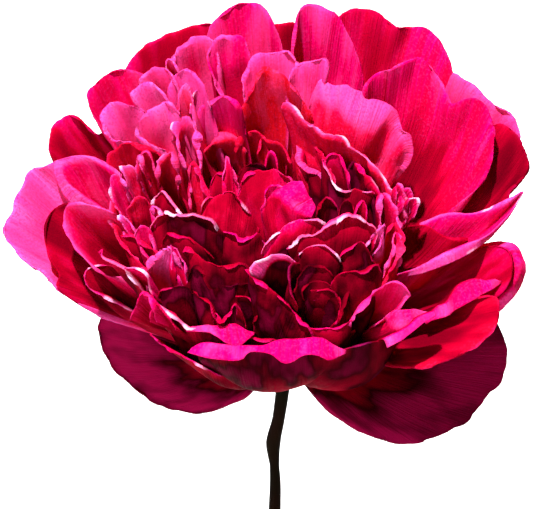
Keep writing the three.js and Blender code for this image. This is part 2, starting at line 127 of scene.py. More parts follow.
# Pot
POT_HEIGHT = 160
POT_FOOT_RADIUS = 68
POT_BODY_TOP_RADIUS = 92
POT_RIM_RADIUS = 100
POT_RIM_HEIGHT = 30
POT_WALL = 6
POT_FLOOR = 9
POT_EDGE = 1.5
POT_SHOULDER = POT_HEIGHT - POT_RIM_HEIGHT
POT_SIDES = 128
POT_SHARP_ANGLE = 40
CORNER_POINTS = 5
DRAIN_HOLES = 4
DRAIN_HOLE_TURN = 45
DRAIN_HOLE_RADIUS = 6
DRAIN_HOLE_CIRCLE = 38
DRAIN_HOLE_SIDES = 32

# Soil
GAP = 0.3
SOIL_TOP = 143
SOIL_SWELL = 1.6
SOIL_UNEVENNESS = 0.5
SOIL_WALL_DROP = 2
SOIL_SIDES = 120
SOIL_RINGS = 40
SOIL_EDGE = 0.985  # the outermost ring of the soil's top, as a share of its radius
CRUMBS = 1500
CRUMB_SEED = 7
CRUMB_SIDES = 6
CRUMB_RINGS = ((-0.5, 0.6), (0.0, 1.0), (0.5, 0.55))  # height and radius
CRUMB_SIZES = (0.7, 2.3)  # the least one in mm, and what the largest adds
CRUMB_SPREAD = (0.7, 1.15)  # how unevenly far its corners lie out
CRUMB_SQUASH = (0.6, 1.3)  # how unlike its three measures are
CRUMB_RAISE = 0.2
CLEAR_OF_WALL = 5
CLEAR_OF_STEM = 6

# Stage, in metres
FLOOR_SIZE = 12
FLOOR_PLACE = (0, 2, 0)
FLOOR_COLOUR = (0.9, 0.9, 0.9)
LIT_PLACE = (0, 0, 0.49)
WORLD_COLOUR = (1, 1, 1)
WORLD_LIGHT = 0.06


def outward(heading):
    """The level direction of a heading."""
    return np.array([sin(radians(heading)), -cos(radians(heading)), 0.0])


def across(heading):
    """The level direction at right angles to a heading."""
    return np.array([cos(radians(heading)), sin(radians(heading)), 0.0])


def smoothstep(low, high, value):
    share = np.clip((value - low) / (high - low), 0, 1)
    return share * share * (3 - 2 * share)


def lerp(a, b, share):
    return a + (b - a) * share


def unit(vectors):
    """The vectors, each made 1 long."""
    return vectors / np.maximum(np.linalg.norm(vectors, axis=-1, keepdims=True), TINY)


# Meshes


def grid_normals(points):
    return unit(np.cross(np.gradient(points, axis=0), np.gradient(points, axis=1)))


def sheet(points, thickness):
    """A closed sheet about a grid of points. Returns its vertices, upper ones first, and its faces."""
    rows, columns = points.shape[:2]
    offset = grid_normals(points) * np.asarray(thickness)[..., None] / 2
    vertices = np.concatenate([(points + offset).reshape(-1, 3), (points - offset).reshape(-1, 3)])
    under = rows * columns
    index = np.arange(under).reshape(rows, columns)
    a, b, c, d = index[:-1, :-1], index[1:, :-1], index[1:, 1:], index[:-1, 1:]
    upper = np.stack([a, b, c, d], axis=-1).reshape(-1, 4)
    lower = np.stack([a, d, c, b], axis=-1).reshape(-1, 4) + under
    rim = np.concatenate([index[:, 0], index[-1, 1:], index[-2::-1, -1], index[0, -2::-1]])
    first, second = rim[:-1], rim[1:]
    side = np.stack([second, first, first + under, second + under], axis=-1)
    return vertices, np.concatenate([upper, lower, side])


def circle(sides):
    """The angles, in radians, of points that are evenly spaced round a circle."""
    return 2 * pi * np.arange(sides) / sides


def ring_faces(rings, sides, first=0):
    """The numbers of vertices in rings, each one's follower in its ring, and the faces between the rings."""
    index = first + np.arange(rings * sides).reshape(rings, sides)
    following = np.roll(index, -1, axis=1)
    faces = np.stack([index[:-1], following[:-1], following[1:], index[1:]], axis=-1)
    return index, following, faces.reshape(-1, 4).tolist()


def closed_rings(rings, sides):
    """The faces of a body whose vertices lie in rings, with a flat face at either end."""
    index, _, faces = ring_faces(rings, sides)
    return [*faces, index[0, ::-1].tolist(), index[-1].tolist()]


def tube(points, radii, sides):
    """A closed tube through some points, with its radius at each."""
    points = np.asarray(points, float)
    forward = unit(np.gradient(points, axis=0))
    u = unit(np.cross(TUBE_SIDE, forward))
    v = np.cross(forward, u)
    turn = circle(sides)
    ring = u[:, None] * np.cos(turn)[None, :, None] + v[:, None] * np.sin(turn)[None, :, None]
    vertices = points[:, None] + np.asarray(radii)[:, None, None] * ring
    return vertices.reshape(-1, 3), closed_rings(len(points), sides)


def lathe(profile, sides):
    """A closed body turned about the upright axis; the profile starts and ends on the axis."""
    profile = np.asarray(profile, float)
    turn = circle(sides)
    inner = profile[1:-1]
    rings = np.stack([
        inner[:, :1] * np.cos(turn),
        inner[:, :1] * np.sin(turn),
        np.broadcast_to(inner[:, 1:], (len(inner), sides)),
    ], axis=-1)
    vertices = np.concatenate([[[0, 0, profile[0, 1]]], rings.reshape(-1, 3), [[0, 0, profile[-1, 1]]]])
    index, following, faces = ring_faces(len(inner), sides, first=1)
    last = len(vertices) - 1
    for k in range(sides):
        faces.append([0, int(following[0, k]), int(index[0, k])])
        faces.append([last, int(index[-1, k]), int(following[-1, k])])
    return vertices, faces


class Shape:
    """Vertices, faces and per-vertex values of several closed bodies, gathered into one piece."""

    def __init__(self):
        self.vertices = []
        self.faces = []
        self.values = {}
        self.count = 0

    def add(self, vertices, faces, **values):
        self.vertices.append(vertices)
        self.faces.extend((np.asarray(face) + self.count).tolist() for face in faces)
        for name, value in values.items():
            self.values.setdefault(name, []).append(np.broadcast_to(value, len(vertices)))
        self.count += len(vertices)

    def add_sheet(self, points, thickness, **values):
        """A closed sheet with a value "side" that is 0 on its upper face and 1 on its lower one."""
        vertices, faces = sheet(points, thickness)
        grid = points.shape[:2]
        doubled = {name: np.tile(np.broadcast_to(value, grid).ravel(), 2) for name, value in values.items()}
        self.add(vertices, faces, side=np.repeat([0.0, 1.0], grid[0] * grid[1]), **doubled)

    def piece(self, name, material, slot, *replaced, smooth=True):
        mesh = bpy.data.meshes.new(name)
        mesh.from_pydata((np.concatenate(self.vertices) * MM).tolist(), [], self.faces)
        for key, parts in self.values.items():
            data = mesh.attributes.new(key, "FLOAT", "POINT").data
            data.foreach_set("value", np.concatenate(parts).astype(np.float32))
        if smooth:
            mesh.shade_smooth()
        else:
            mesh.shade_flat()
        mesh.materials.append(material)
        made = bpy.data.objects.new(name, mesh)
        bpy.context.scene.collection.objects.link(made)
        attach(made, "root")
        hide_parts(*replaced)
        return made


# Materials

MIX_FACTOR, MIX_FIRST, MIX_SECOND, MIX_RESULT = 0, 6, 7, 2  # the colour sockets of a mix node


def new_material(name):
    material = bpy.data.materials.new(name)
    material.use_nodes = True
    return material, material.node_tree, material.node_tree.nodes["Principled BSDF"]


def node(tree, kind, **settings):
    made = tree.nodes.new("ShaderNode" + kind)
    for key, value in settings.items():
        setattr(made, key, value)
    return made


def fill(tree, made, values):
    """Give a node's sockets numbers, colours or what other nodes put out."""
    for key, value in values.items():
        socket = made.inputs[key]
        if isinstance(value, bpy.types.NodeSocket):
            tree.links.new(value, socket)
        elif socket.type == "RGBA":
            socket.default_value = (*value, 1)
        else:
            socket.default_value = value


def attribute(tree, name):
    return node(tree, "Attribute", attribute_name=name).outputs["Fac"]


def mix_colour(tree, factor, first, second):
    made = node(tree, "Mix", data_type="RGBA")
    fill(tree, made, {MIX_FACTOR: factor, MIX_FIRST: first, MIX_SECOND: second})
    return made.outputs[MIX_RESULT]


def coated(tree, colour, *coats):
    """A colour under some coats, each given as how strongly it covers and its own colour."""
    for cover, coat in coats:
        colour = mix_colour(tree, cover, colour, coat)
    return colour


def maths(tree, operation, a, b, clamp=False):
    made = node(tree, "Math", operation=operation, use_clamp=clamp)
    fill(tree, made, {0: a, 1: b})
    return made.outputs[0]


def times(tree, a, b, clamp=False):
    return maths(tree, "MULTIPLY", a, b, clamp)


def map_range(tree, value, low, high, to=(0.0, 1.0), kind="SMOOTHSTEP"):
    made = node(tree, "MapRange", interpolation_type=kind)
    fill(tree, made, {"Value": value, "From Min": low, "From Max": high, "To Min": to[0], "To Max": to[1]})
    return made.outputs["Result"]


def map_linear(tree, value, low, high):
    return map_range(tree, value, low, high, kind="LINEAR")


def noise(tree, scale, detail, stretch=None, vector=None):
    if vector is None:
        vector = node(tree, "TexCoord").outputs["Object"]
    if stretch:
        mapping = node(tree, "Mapping")
        fill(tree, mapping, {"Scale": stretch, "Vector": vector})
        vector = mapping.outputs["Vector"]
    made = node(tree, "TexNoise")
    fill(tree, made, {"Scale": scale, "Detail": detail, "Vector": vector})
    return made.outputs["Fac"]


def bump(tree, shader, height, strength, distance):
    made = node(tree, "Bump")
    fill(tree, made, {"Strength": strength, "Distance": distance, "Height": height})
    fill(tree, shader, {"Normal": made.outputs["Normal"]})
    return made.outputs["Normal"]


def srgb(red, green, blue):
    """A colour given as in the photograph, 0 to 255, as the linear one that shaders take."""
    parts = []
    for value in (red, green, blue):
        share = value / 255
        parts.append(share / 12.92 if share <= 0.04045 else ((share + 0.055) / 1.055) ** 2.4)
    return tuple(parts)


# Linear colours of the petals: from root to rim, then of markings, painted shade and light,
# painted rim highlights and the light shining through
# The deep red at the root is partly the petal's own colour and partly painted shade deep in the bloom
DEEP_RED = (0.6, 0.0, 0.012)
CRIMSON = (0.86, 0.0, 0.04)
HOT_PINK = (0.95, 0.001, 0.19)
STREAK_RED = (0.6, 0.0, 0.03)
VEIN_RED = (0.6, 0.0, 0.035)
WARM_RED = (0.9, 0.002, 0.015)
COOL_PINK = (0.85, 0.0, 0.22)
SCARLET = (0.8, 0.006, 0.012)
# The undersides' darker crimson is painted shade
SHADED_UNDERSIDE_RED = (0.6, 0.0, 0.07)
# The colour of painted light, partly also the petals' own paleness
PALE_PINK = (0.95, 0.14, 0.57)
FLUSH_PINK = (0.92, 0.012, 0.28)
# Light specks are painted glints where the petals' cells catch the light
GLINT_PINK = (1.0, 0.05, 0.38)
DARK_SPECK = (0.6, 0.0, 0.1)
# Painted shade, from shaded red to the deepest red, and the plum painted shade of the two lowest petals
SHADED_RED = (0.45, 0.0, 0.02)
DEEPEST_SHADE_RED = (0.035, 0.0, 0.002)
SHADOW_PLUM = (0.4, 0.003, 0.062)
# Colours of the painted highlight along rims that catch the light, pink when weak and white when strong
RIM_HIGHLIGHT_PINK = (0.95, 0.02, 0.33)
RIM_HIGHLIGHT_WHITE = (1.0, 0.5, 0.8)
GLOW = (1.0, 0.0, 0.05)
SHADED_GLOW = (0.12, 0.0, 0.01)
SPECULAR_TINT = (1.0, 0.3, 0.7)
SHEEN_TINT = (1.0, 0.1, 0.6)

# Linear colours of the leaves
LEAF_DARK = (0.018, 0.075, 0.014)
LEAF_GREEN = (0.045, 0.15, 0.03)
LEAF_RIB = (0.17, 0.30, 0.09)
LEAF_UNDERSIDE = (0.10, 0.19, 0.08)
LEAF_FLUSH = (0.16, 0.05, 0.03)

# Colours of stems, clay and earth
STEM_DARK = srgb(13, 11, 4)
STEM_GREEN = srgb(24, 23, 8)
STEM_FLUSH = srgb(30, 8, 6)
CLAY_BROWN = srgb(170, 92, 58)
CLAY_ORANGE = srgb(196, 118, 80)
CLAY_BLOOM = srgb(214, 168, 140)
CLAY_GRAIN = srgb(120, 62, 40)
EARTH_DARK = srgb(34, 23, 16)
EARTH_BROWN = srgb(70, 48, 33)
EARTH_FIBRE = srgb(112, 84, 60)


def petal_noise(tree, sideways, lengthwise, between, detail):
    """Noise that lies along a petal, with its scales across it, along it and from one petal to the next."""
    place = node(tree, "CombineXYZ")
    scales = {"across": sideways, "along": lengthwise, "tone": between}
    for axis, (name, scale) in enumerate(scales.items()):
        fill(tree, place, {axis: times(tree, attribute(tree, name), scale)})
    return noise(tree, scale=1.0, detail=detail, vector=place.outputs[0])


def petal_colour(tree, veins, streaks, mottle, shade):
    """Crimson-pink, veined and streaked; redder or pinker by tone, paler by painted light, darker by painted
    shade.
    """
    along = attribute(tree, "along")
    tone = attribute(tree, "tone")
    redder = times(tree, tone, -1.0, clamp=True)
    # Painted light: negative shade values lighten the petal, partly its own paleness
    paleness_and_painted_light = times(tree, shade, -1.0, clamp=True)
    flushed = times(tree, map_range(tree, streaks, 0.4, 0.6, to=(0.0, 0.75)), paleness_and_painted_light)
    # Painted glints, more towards the rim
    painted_glints = times(tree, map_range(tree, mottle, 0.5, 0.65, to=(0.0, 0.25)), along)
    speckled = maths(tree, "ADD", times(tree, paleness_and_painted_light, 0.5), 0.12)
    dark_specks = times(tree, map_range(tree, mottle, 0.36, 0.5, to=(1.0, 0.0)), speckled)
    return coated(
        tree,
        DEEP_RED,
        (map_range(tree, along, 0.2, 0.7), CRIMSON),
        (map_range(tree, along, 0.6, 1.0), HOT_PINK),
        (map_range(tree, streaks, 0.42, 0.66, to=(0.0, 0.65)), STREAK_RED),
        (map_range(tree, veins, 0.42, 0.62, to=(0.0, 0.6)), VEIN_RED),
        (map_range(tree, tone, 0.0, 0.6, to=(0.4, 0.0)), WARM_RED),
        (map_range(tree, tone, 0.6, 1.0, to=(0.0, 0.35)), COOL_PINK),
        (redder, SCARLET),
        # Painted shade on the petals' undersides
        (times(tree, attribute(tree, "side"), 0.3), SHADED_UNDERSIDE_RED),
        (paleness_and_painted_light, PALE_PINK),
        (flushed, FLUSH_PINK),
        (painted_glints, GLINT_PINK),
        (dark_specks, DARK_SPECK),
        # Painted shade: darker as the shade value rises, plum above 1
        (map_linear(tree, shade, 0.0, 0.5), SHADED_RED),
        (map_linear(tree, shade, 0.4, 1.0), DEEPEST_SHADE_RED),
        (map_linear(tree, shade, 1.0, 1.5), SHADOW_PLUM),
    )


def petal_rim(tree, body):
    """The colour with a painted highlight along the rim: a light pink line, white where it is strongest."""
    rim_highlight = attribute(tree, "rim_highlight")
    from_rim = maths(tree, "SUBTRACT", attribute(tree, "edge"), times(tree, rim_highlight, 0.7))
    rim = times(tree, map_range(tree, from_rim, 0.0, 0.8, to=(1.0, 0.0)), rim_highlight)
    rim_colour = mix_colour(tree, map_range(tree, rim_highlight, 0.3, 0.8), RIM_HIGHLIGHT_PINK, RIM_HIGHLIGHT_WHITE)
    return mix_colour(tree, rim, body, rim_colour)


def let_light_through(tree, shader, normal, shade, share):
    """Mix a translucent shader with the main one; under painted shade less light shines through."""
    glow = node(tree, "BsdfTranslucent")
    through = mix_colour(tree, maths(tree, "ADD", shade, 0.0, clamp=True), GLOW, SHADED_GLOW)
    fill(tree, glow, {"Color": through, "Normal": normal})
    both = node(tree, "MixShader")
    fill(tree, both, {0: share, 1: shader.outputs[0], 2: glow.outputs[0]})
    fill(tree, tree.nodes["Material Output"], {"Surface": both.outputs[0]})


def petal_material():
    """Crimson-pink with fine veins, a silky sheen, painted light, shade and rim highlights; light shines
    through red.
    """
    material, tree, shader = new_material("petal")
    veins = petal_noise(tree, sideways=30.0, lengthwise=3.0, between=50.0, detail=4.0)
    streaks = petal_noise(tree, sideways=7.0, lengthwise=1.2, between=30.0, detail=3.0)
    patches = petal_noise(tree, sideways=2.2, lengthwise=3.5, between=20.0, detail=2.0)
    mottle = noise(tree, scale=1400.0, detail=2.0)
    patchy = map_range(tree, patches, 0.32, 0.68, to=(-0.2, 0.2))
    # Painted shading, varied in random patches: below 0 painted light, above 0 painted shade
    shade = maths(tree, "ADD", attribute(tree, "shade"), patchy)
    fill(tree, shader, {
        "Base Color": petal_rim(tree, petal_colour(tree, veins, streaks, mottle, shade)),
        "Roughness": 0.6,
        "Specular IOR Level": 0.015,
        "Specular Tint": SPECULAR_TINT,
        "Sheen Weight": 0.005,
        "Sheen Roughness": 0.3,
        "Sheen Tint": SHEEN_TINT,
    })
    height = maths(tree, "ADD", veins, times(tree, mottle, 0.3))
    normal = bump(tree, shader, height, strength=0.7, distance=0.0006)
    let_light_through(tree, shader, normal, shade, share=0.3)
    return material


def leaf_material():
    """Dark glossy green with paler ribs, a duller underside and a red-brown flush at the rim."""
    material, tree, shader = new_material("leaf")
    mottle = noise(tree, scale=60.0, detail=4.0)
    body = coated(
        tree,
        LEAF_DARK,
        (map_range(tree, mottle, 0.35, 0.7), LEAF_GREEN),
        (map_range(tree, attribute(tree, "vein"), 0.2, 1.0, to=(0.0, 0.7)), LEAF_RIB),
        (times(tree, attribute(tree, "side"), 0.6), LEAF_UNDERSIDE),
        (map_range(tree, attribute(tree, "edge"), 0.2, 1.2, to=(0.6, 0.0)), LEAF_FLUSH),
    )
    gloss = map_range(tree, mottle, 0.3, 0.7, to=(0.3, 0.45))
    fill(tree, shader, {"Base Color": body, "Roughness": gloss})
    bump(tree, shader, noise(tree, scale=400.0, detail=3.0), strength=0.25, distance=0.0003)
    return material


def stem_material():
    """Smooth dark green, flushed brown-red, with fine lengthwise streaks."""
    material, tree, shader = new_material("stem")
    streaks = noise(tree, scale=120.0, detail=4.0, stretch=(1, 1, 0.06))
    patches = noise(tree, scale=25.0, detail=3.0)
    body = coated(
        tree,
        STEM_DARK,
        (map_range(tree, streaks, 0.35, 0.65), STEM_GREEN),
        (map_range(tree, patches, 0.4, 0.65, to=(0.0, 0.7)), STEM_FLUSH),
    )
    fill(tree, shader, {"Base Color": body, "Roughness": 0.6, "Specular IOR Level": 0.015})
    bump(tree, shader, streaks, strength=0.4, distance=0.0004)
    return material


def clay_material():
    """Fired clay: warm orange-brown with paler mineral patches, fine grain and turning lines."""
    material, tree, shader = new_material("clay")
    patches = noise(tree, scale=14.0, detail=5.0)
    grain = noise(tree, scale=900.0, detail=2.0)
    lines = noise(tree, scale=60.0, detail=2.0, stretch=(0.05, 0.05, 3.0))
    body = coated(
        tree,
        CLAY_BROWN,
        (map_range(tree, patches, 0.35, 0.7), CLAY_ORANGE),
        (map_range(tree, patches, 0.62, 0.8, to=(0.0, 0.5)), CLAY_BLOOM),
        (map_range(tree, grain, 0.4, 0.7, to=(0.0, 0.25)), CLAY_GRAIN),
    )
    fill(tree, shader, {"Base Color": body, "Roughness": 0.85})
    height = maths(tree, "ADD", grain, times(tree, lines, 1.5))
    bump(tree, shader, height, strength=0.4, distance=0.0006)
    return material


def earth_material():
    """Moist potting mix: near-black brown with lighter fibres and grit."""
    material, tree, shader = new_material("earth")
    coarse = noise(tree, scale=150.0, detail=5.0)
    fine = noise(tree, scale=900.0, detail=3.0)
    body = coated(
        tree,
        EARTH_DARK,
        (map_range(tree, coarse, 0.35, 0.7), EARTH_BROWN),
        (map_range(tree, fine, 0.55, 0.75, to=(0.0, 0.6)), EARTH_FIBRE),
    )
    fill(tree, shader, {"Base Color": body, "Roughness": 0.95})
    bump(tree, shader, fine, strength=0.6, distance=0.0008)
    return material


# Petals
# A petal is a sheet from its narrow root to its rim. Rim points are given as the camera sees them, in
# picture pixels from the left and the top, with their height over the bloom's base in mm. "face" is the
# heading that the petal's back looks to, and "belly" is how far it bulges that way. A petal with a crest
# rises to it first, and its edge is folded over from there to the rim. A "root" is a point in mm in the
# bloom's own frame. A "tone" is from -1, scarlet, over 0, warm red, to 1, cool pink. Claw, lip, band and
# dark take the place of those of the petal's style, which is given further down.

GUARD_PETALS = {
    "low_left": dict(face=-50, belly=4, rim=[
        (112, 304, 14), (100, 325, 4), (103, 348, -4), (121, 375, -11), (150, 398, -14), (178, 410, -14),
        (204, 413, -13), (228, 405, -10), (246, 397, -7), (258, 382, -3),
    ]),
    "low_right": dict(face=58, belly=4, rim=[
        (488, 308, 20), (500, 329, 15), (507, 350, 10), (502, 376, 4), (487, 396, 1), (471, 416, -2),
        (450, 430, -4), (425, 440, -5), (400, 443, -6), (370, 436, -5), (345, 423, -4), (325, 408, -3),
        (312, 386, -2),
    ]),
    "far_left": dict(face=-97, belly=4, rim=[
        (150, 327, 12), (125, 323, 18), (102, 316, 24), (80, 305, 30), (58, 289, 36), (41, 270, 41),
        (34, 268, 42), (14, 248, 46), (3, 230, 47), (12, 211, 50), (22, 187, 54), (33, 169, 57),
        (46, 166, 59), (58, 160, 60), (90, 165, 52),
    ]),
    "left_upper": dict(face=-118, belly=5, rim=[
        (120, 140, 58), (107, 131, 62), (97, 134, 64), (88, 127, 66), (78, 118, 68), (68, 115, 68),
        (58, 124, 67), (52, 140, 64), (52, 155, 60), (58, 170, 56), (75, 188, 50),
    ]),
    "left_middle": dict(face=-100, belly=6, crest=[
        (122, 179, 58), (103, 165, 62), (88, 159, 63), (73, 161, 62), (62, 167, 60), (66, 180, 57),
        (76, 191, 54), (89, 200, 51), (108, 211, 47),
    ], rim=[
        (122, 176, 58), (101, 161, 62), (85, 155, 64), (68, 157, 63), (54, 163, 60), (55, 180, 56),
        (66, 198, 51), (82, 209, 48), (108, 219, 44),
    ]),
    "left_lower": dict(face=-88, belly=5, dark=(0.45, 0.8), rim=[
        (116, 214, 55), (104, 209, 57), (92, 205, 58), (78, 203, 58), (67, 206, 57), (64, 217, 54),
        (68, 233, 51), (76, 248, 48), (88, 262, 46), (100, 272, 44), (112, 277, 42), (126, 276, 40),
    ]),
    "left_spoon": dict(face=-68, belly=6, band=(0.7, 0.9), rim=[
        (122, 268, 42), (101, 265, 44), (88, 268, 44), (84, 275, 43), (89, 288, 39), (103, 295, 36),
        (118, 303, 33), (138, 313, 30), (156, 320, 26),
    ]),
    "back_left_round": dict(face=-135, belly=6, rim=[
        (112, 140, 62), (104, 131, 66), (96, 120, 70), (90, 108, 74), (88, 95, 77), (95, 84, 79),
        (107, 74, 80), (121, 69, 81), (135, 71, 80), (150, 80, 76), (158, 100, 68),
    ]),
    "back_left_dark": dict(face=-150, belly=7, rim=[
        (132, 100, 62), (124, 72, 71), (133, 57, 75), (146, 46, 78), (163, 37, 80), (180, 30, 82),
        (196, 25, 83), (212, 24, 84), (228, 40, 78), (235, 70, 68),
    ]),
    "top_left": dict(face=-174, belly=7, rim=[
        (214, 80, 70), (207, 40, 82), (211, 24, 87), (223, 13, 90), (234, 5, 92), (246, 3, 93),
        (258, 5, 92), (266, 12, 91), (273, 24, 88), (281, 42, 83), (286, 75, 72),
    ]),
    "top_middle": dict(face=177, belly=7, rim=[
        (262, 80, 66), (262, 40, 78), (270, 26, 82), (284, 23, 84), (298, 24, 84), (310, 40, 79),
        (312, 80, 66),
    ]),
    "top_right": dict(face=168, belly=7, rim=[
        (290, 80, 74), (293, 45, 84), (296, 24, 89), (301, 8, 92), (308, 4, 93), (317, 6, 92),
        (328, 11, 91), (335, 14, 90), (342, 24, 87), (352, 42, 82), (361, 62, 76), (364, 90, 67),
    ]),
    "back_right_wide": dict(face=148, belly=7, rim=[
        (334, 60, 72), (335, 28, 82), (341, 15, 86), (352, 10, 87), (366, 9, 87), (378, 13, 86),
        (388, 20, 84), (398, 27, 83), (411, 27, 82), (426, 31, 81), (438, 41, 79), (447, 54, 77),
        (451, 68, 75), (453, 84, 71), (448, 110, 62),
    ]),
    "right_back": dict(face=122, belly=6, rim=[
        (446, 110, 64), (449, 84, 71), (453, 74, 74), (462, 78, 74), (474, 88, 72), (486, 98, 70),
        (498, 107, 69), (510, 112, 68), (516, 121, 67), (519, 136, 64), (508, 155, 57),
    ]),
    "right_great": dict(face=114, belly=8, dark=(0.3, 0.6), rim=[
        (374, 135, 62), (364, 104, 73), (364, 88, 78), (373, 76, 80), (383, 71, 81), (391, 69, 81),
        (399, 64, 81), (410, 60, 81), (419, 57, 81), (428, 63, 80), (436, 74, 78), (443, 86, 76),
        (447, 98, 73), (451, 105, 71), (457, 103, 72), (466, 99, 74), (475, 98, 74), (484, 104, 73),
        (490, 114, 71), (494, 130, 68), (493, 150, 63), (488, 170, 58), (477, 188, 53), (464, 200, 49),
        (448, 212, 44),
    ]),
    "right_shaded": dict(face=104, belly=7, rim=[
        (486, 130, 62), (500, 124, 66), (512, 130, 66), (520, 141, 65), (526, 152, 63), (529, 165, 60),
        (526, 174, 58), (518, 182, 55), (509, 191, 53), (504, 204, 50), (482, 214, 44),
    ]),
    "right_pointed": dict(face=92, belly=5, crest=[
        (420, 226, 43), (446, 215, 47), (472, 214, 50), (494, 208, 54), (511, 200, 57), (521, 194, 57),
        (514, 208, 55), (503, 221, 53), (489, 234, 51), (473, 242, 50), (455, 251, 48), (437, 259, 46),
        (420, 267, 43), (398, 274, 39),
    ], rim=[
        (420, 224, 42), (446, 213, 46), (472, 212, 50), (494, 206, 54), (512, 198, 57), (524, 190, 58),
        (518, 204, 55), (507, 221, 52), (494, 237, 49), (478, 248, 48), (460, 258, 46), (440, 267, 44),
        (420, 274, 41), (396, 278, 37),
    ]),
    "right_low": dict(face=78, belly=7, crest=[
        (440, 266, 37), (470, 252, 41), (492, 247, 44), (505, 248, 46), (513, 255, 47), (517, 266, 46),
        (514, 280, 44), (507, 293, 41), (498, 301, 38), (478, 312, 33),
    ], rim=[
        (440, 262, 37), (470, 246, 41), (494, 241, 44), (507, 242, 45), (517, 247, 46), (523, 258, 45),
        (526, 268, 44), (524, 281, 41), (517, 294, 38), (508, 305, 36), (499, 313, 34), (480, 322, 30),
    ]),
    "right_spoon": dict(face=60, belly=1, tone=-0.8, rim=[
        (386, 342, 33), (376, 352, 27), (388, 364, 25), (404, 367, 27), (422, 367, 30), (442, 362, 33),
        (462, 354, 36), (480, 342, 39), (492, 330, 42), (498, 318, 44), (499, 306, 46), (494, 296, 46),
        (470, 300, 43),
    ]),
    "front_under_left": dict(face=-36, belly=7, rim=[
        (150, 334, 30), (163, 345, 28), (172, 351, 28), (190, 360, 27), (205, 367, 25), (218, 374, 22),
        (240, 380, 16), (258, 383, 10),
    ]),
    "front_under_right": dict(face=34, belly=13, claw=34, rim=[
        (400, 336, 34), (386, 340, 36), (372, 342, 37), (356, 346, 37), (345, 349, 37), (332, 352, 36),
    ]),
    "front_strip": dict(face=-3, belly=12, claw=34, crest=[
        (193, 348, 38), (202, 344, 39), (225, 345, 40), (262, 345, 40), (272, 341, 41), (282, 339, 41),
        (300, 341, 41), (322, 341, 40), (333, 346, 39), (346, 350, 37),
    ], rim=[
        (188, 353, 37), (210, 359, 38), (242, 359, 39), (248, 352, 40), (260, 351, 40), (272, 354, 40),
        (284, 363, 39), (292, 362, 39), (304, 356, 40), (318, 357, 39), (328, 361, 38), (346, 353, 37),
    ]),
    # A dark crimson sheet of painted shadow, laid over far_left where the shadow of the petals above falls
    "left_painted_shadow": dict(face=-95, belly=3, lip=0, rim=[
        (126, 324, 18), (98, 315, 25), (75, 302, 31), (57, 287, 37), (59, 275, 39), (49, 258, 43),
        (45, 240, 46), (46, 222, 49), (53, 210, 51), (68, 203, 52), (90, 205, 48),
    ]),
    # A dark sheet of painted shadow over right_pointed, where the crown's shadow falls
    "right_painted_shadow": dict(face=88, belly=3, lip=0, rim=[
        (404, 229, 47), (416, 225, 48), (428, 226, 49), (440, 234, 49), (455, 239, 49), (468, 240, 48),
        (458, 248, 46), (444, 256, 44), (424, 264, 41), (400, 271, 37),
    ]),
    # A sheet of painted shade that darkens the lit part of right_low
    "right_low_shade": dict(face=80, belly=5, lip=0, rim=[
        (440, 270, 39), (461, 256, 43), (482, 248, 46), (498, 246, 48), (509, 251, 49), (513, 264, 48),
        (510, 279, 46), (500, 293, 43), (478, 306, 38),
    ]),
}

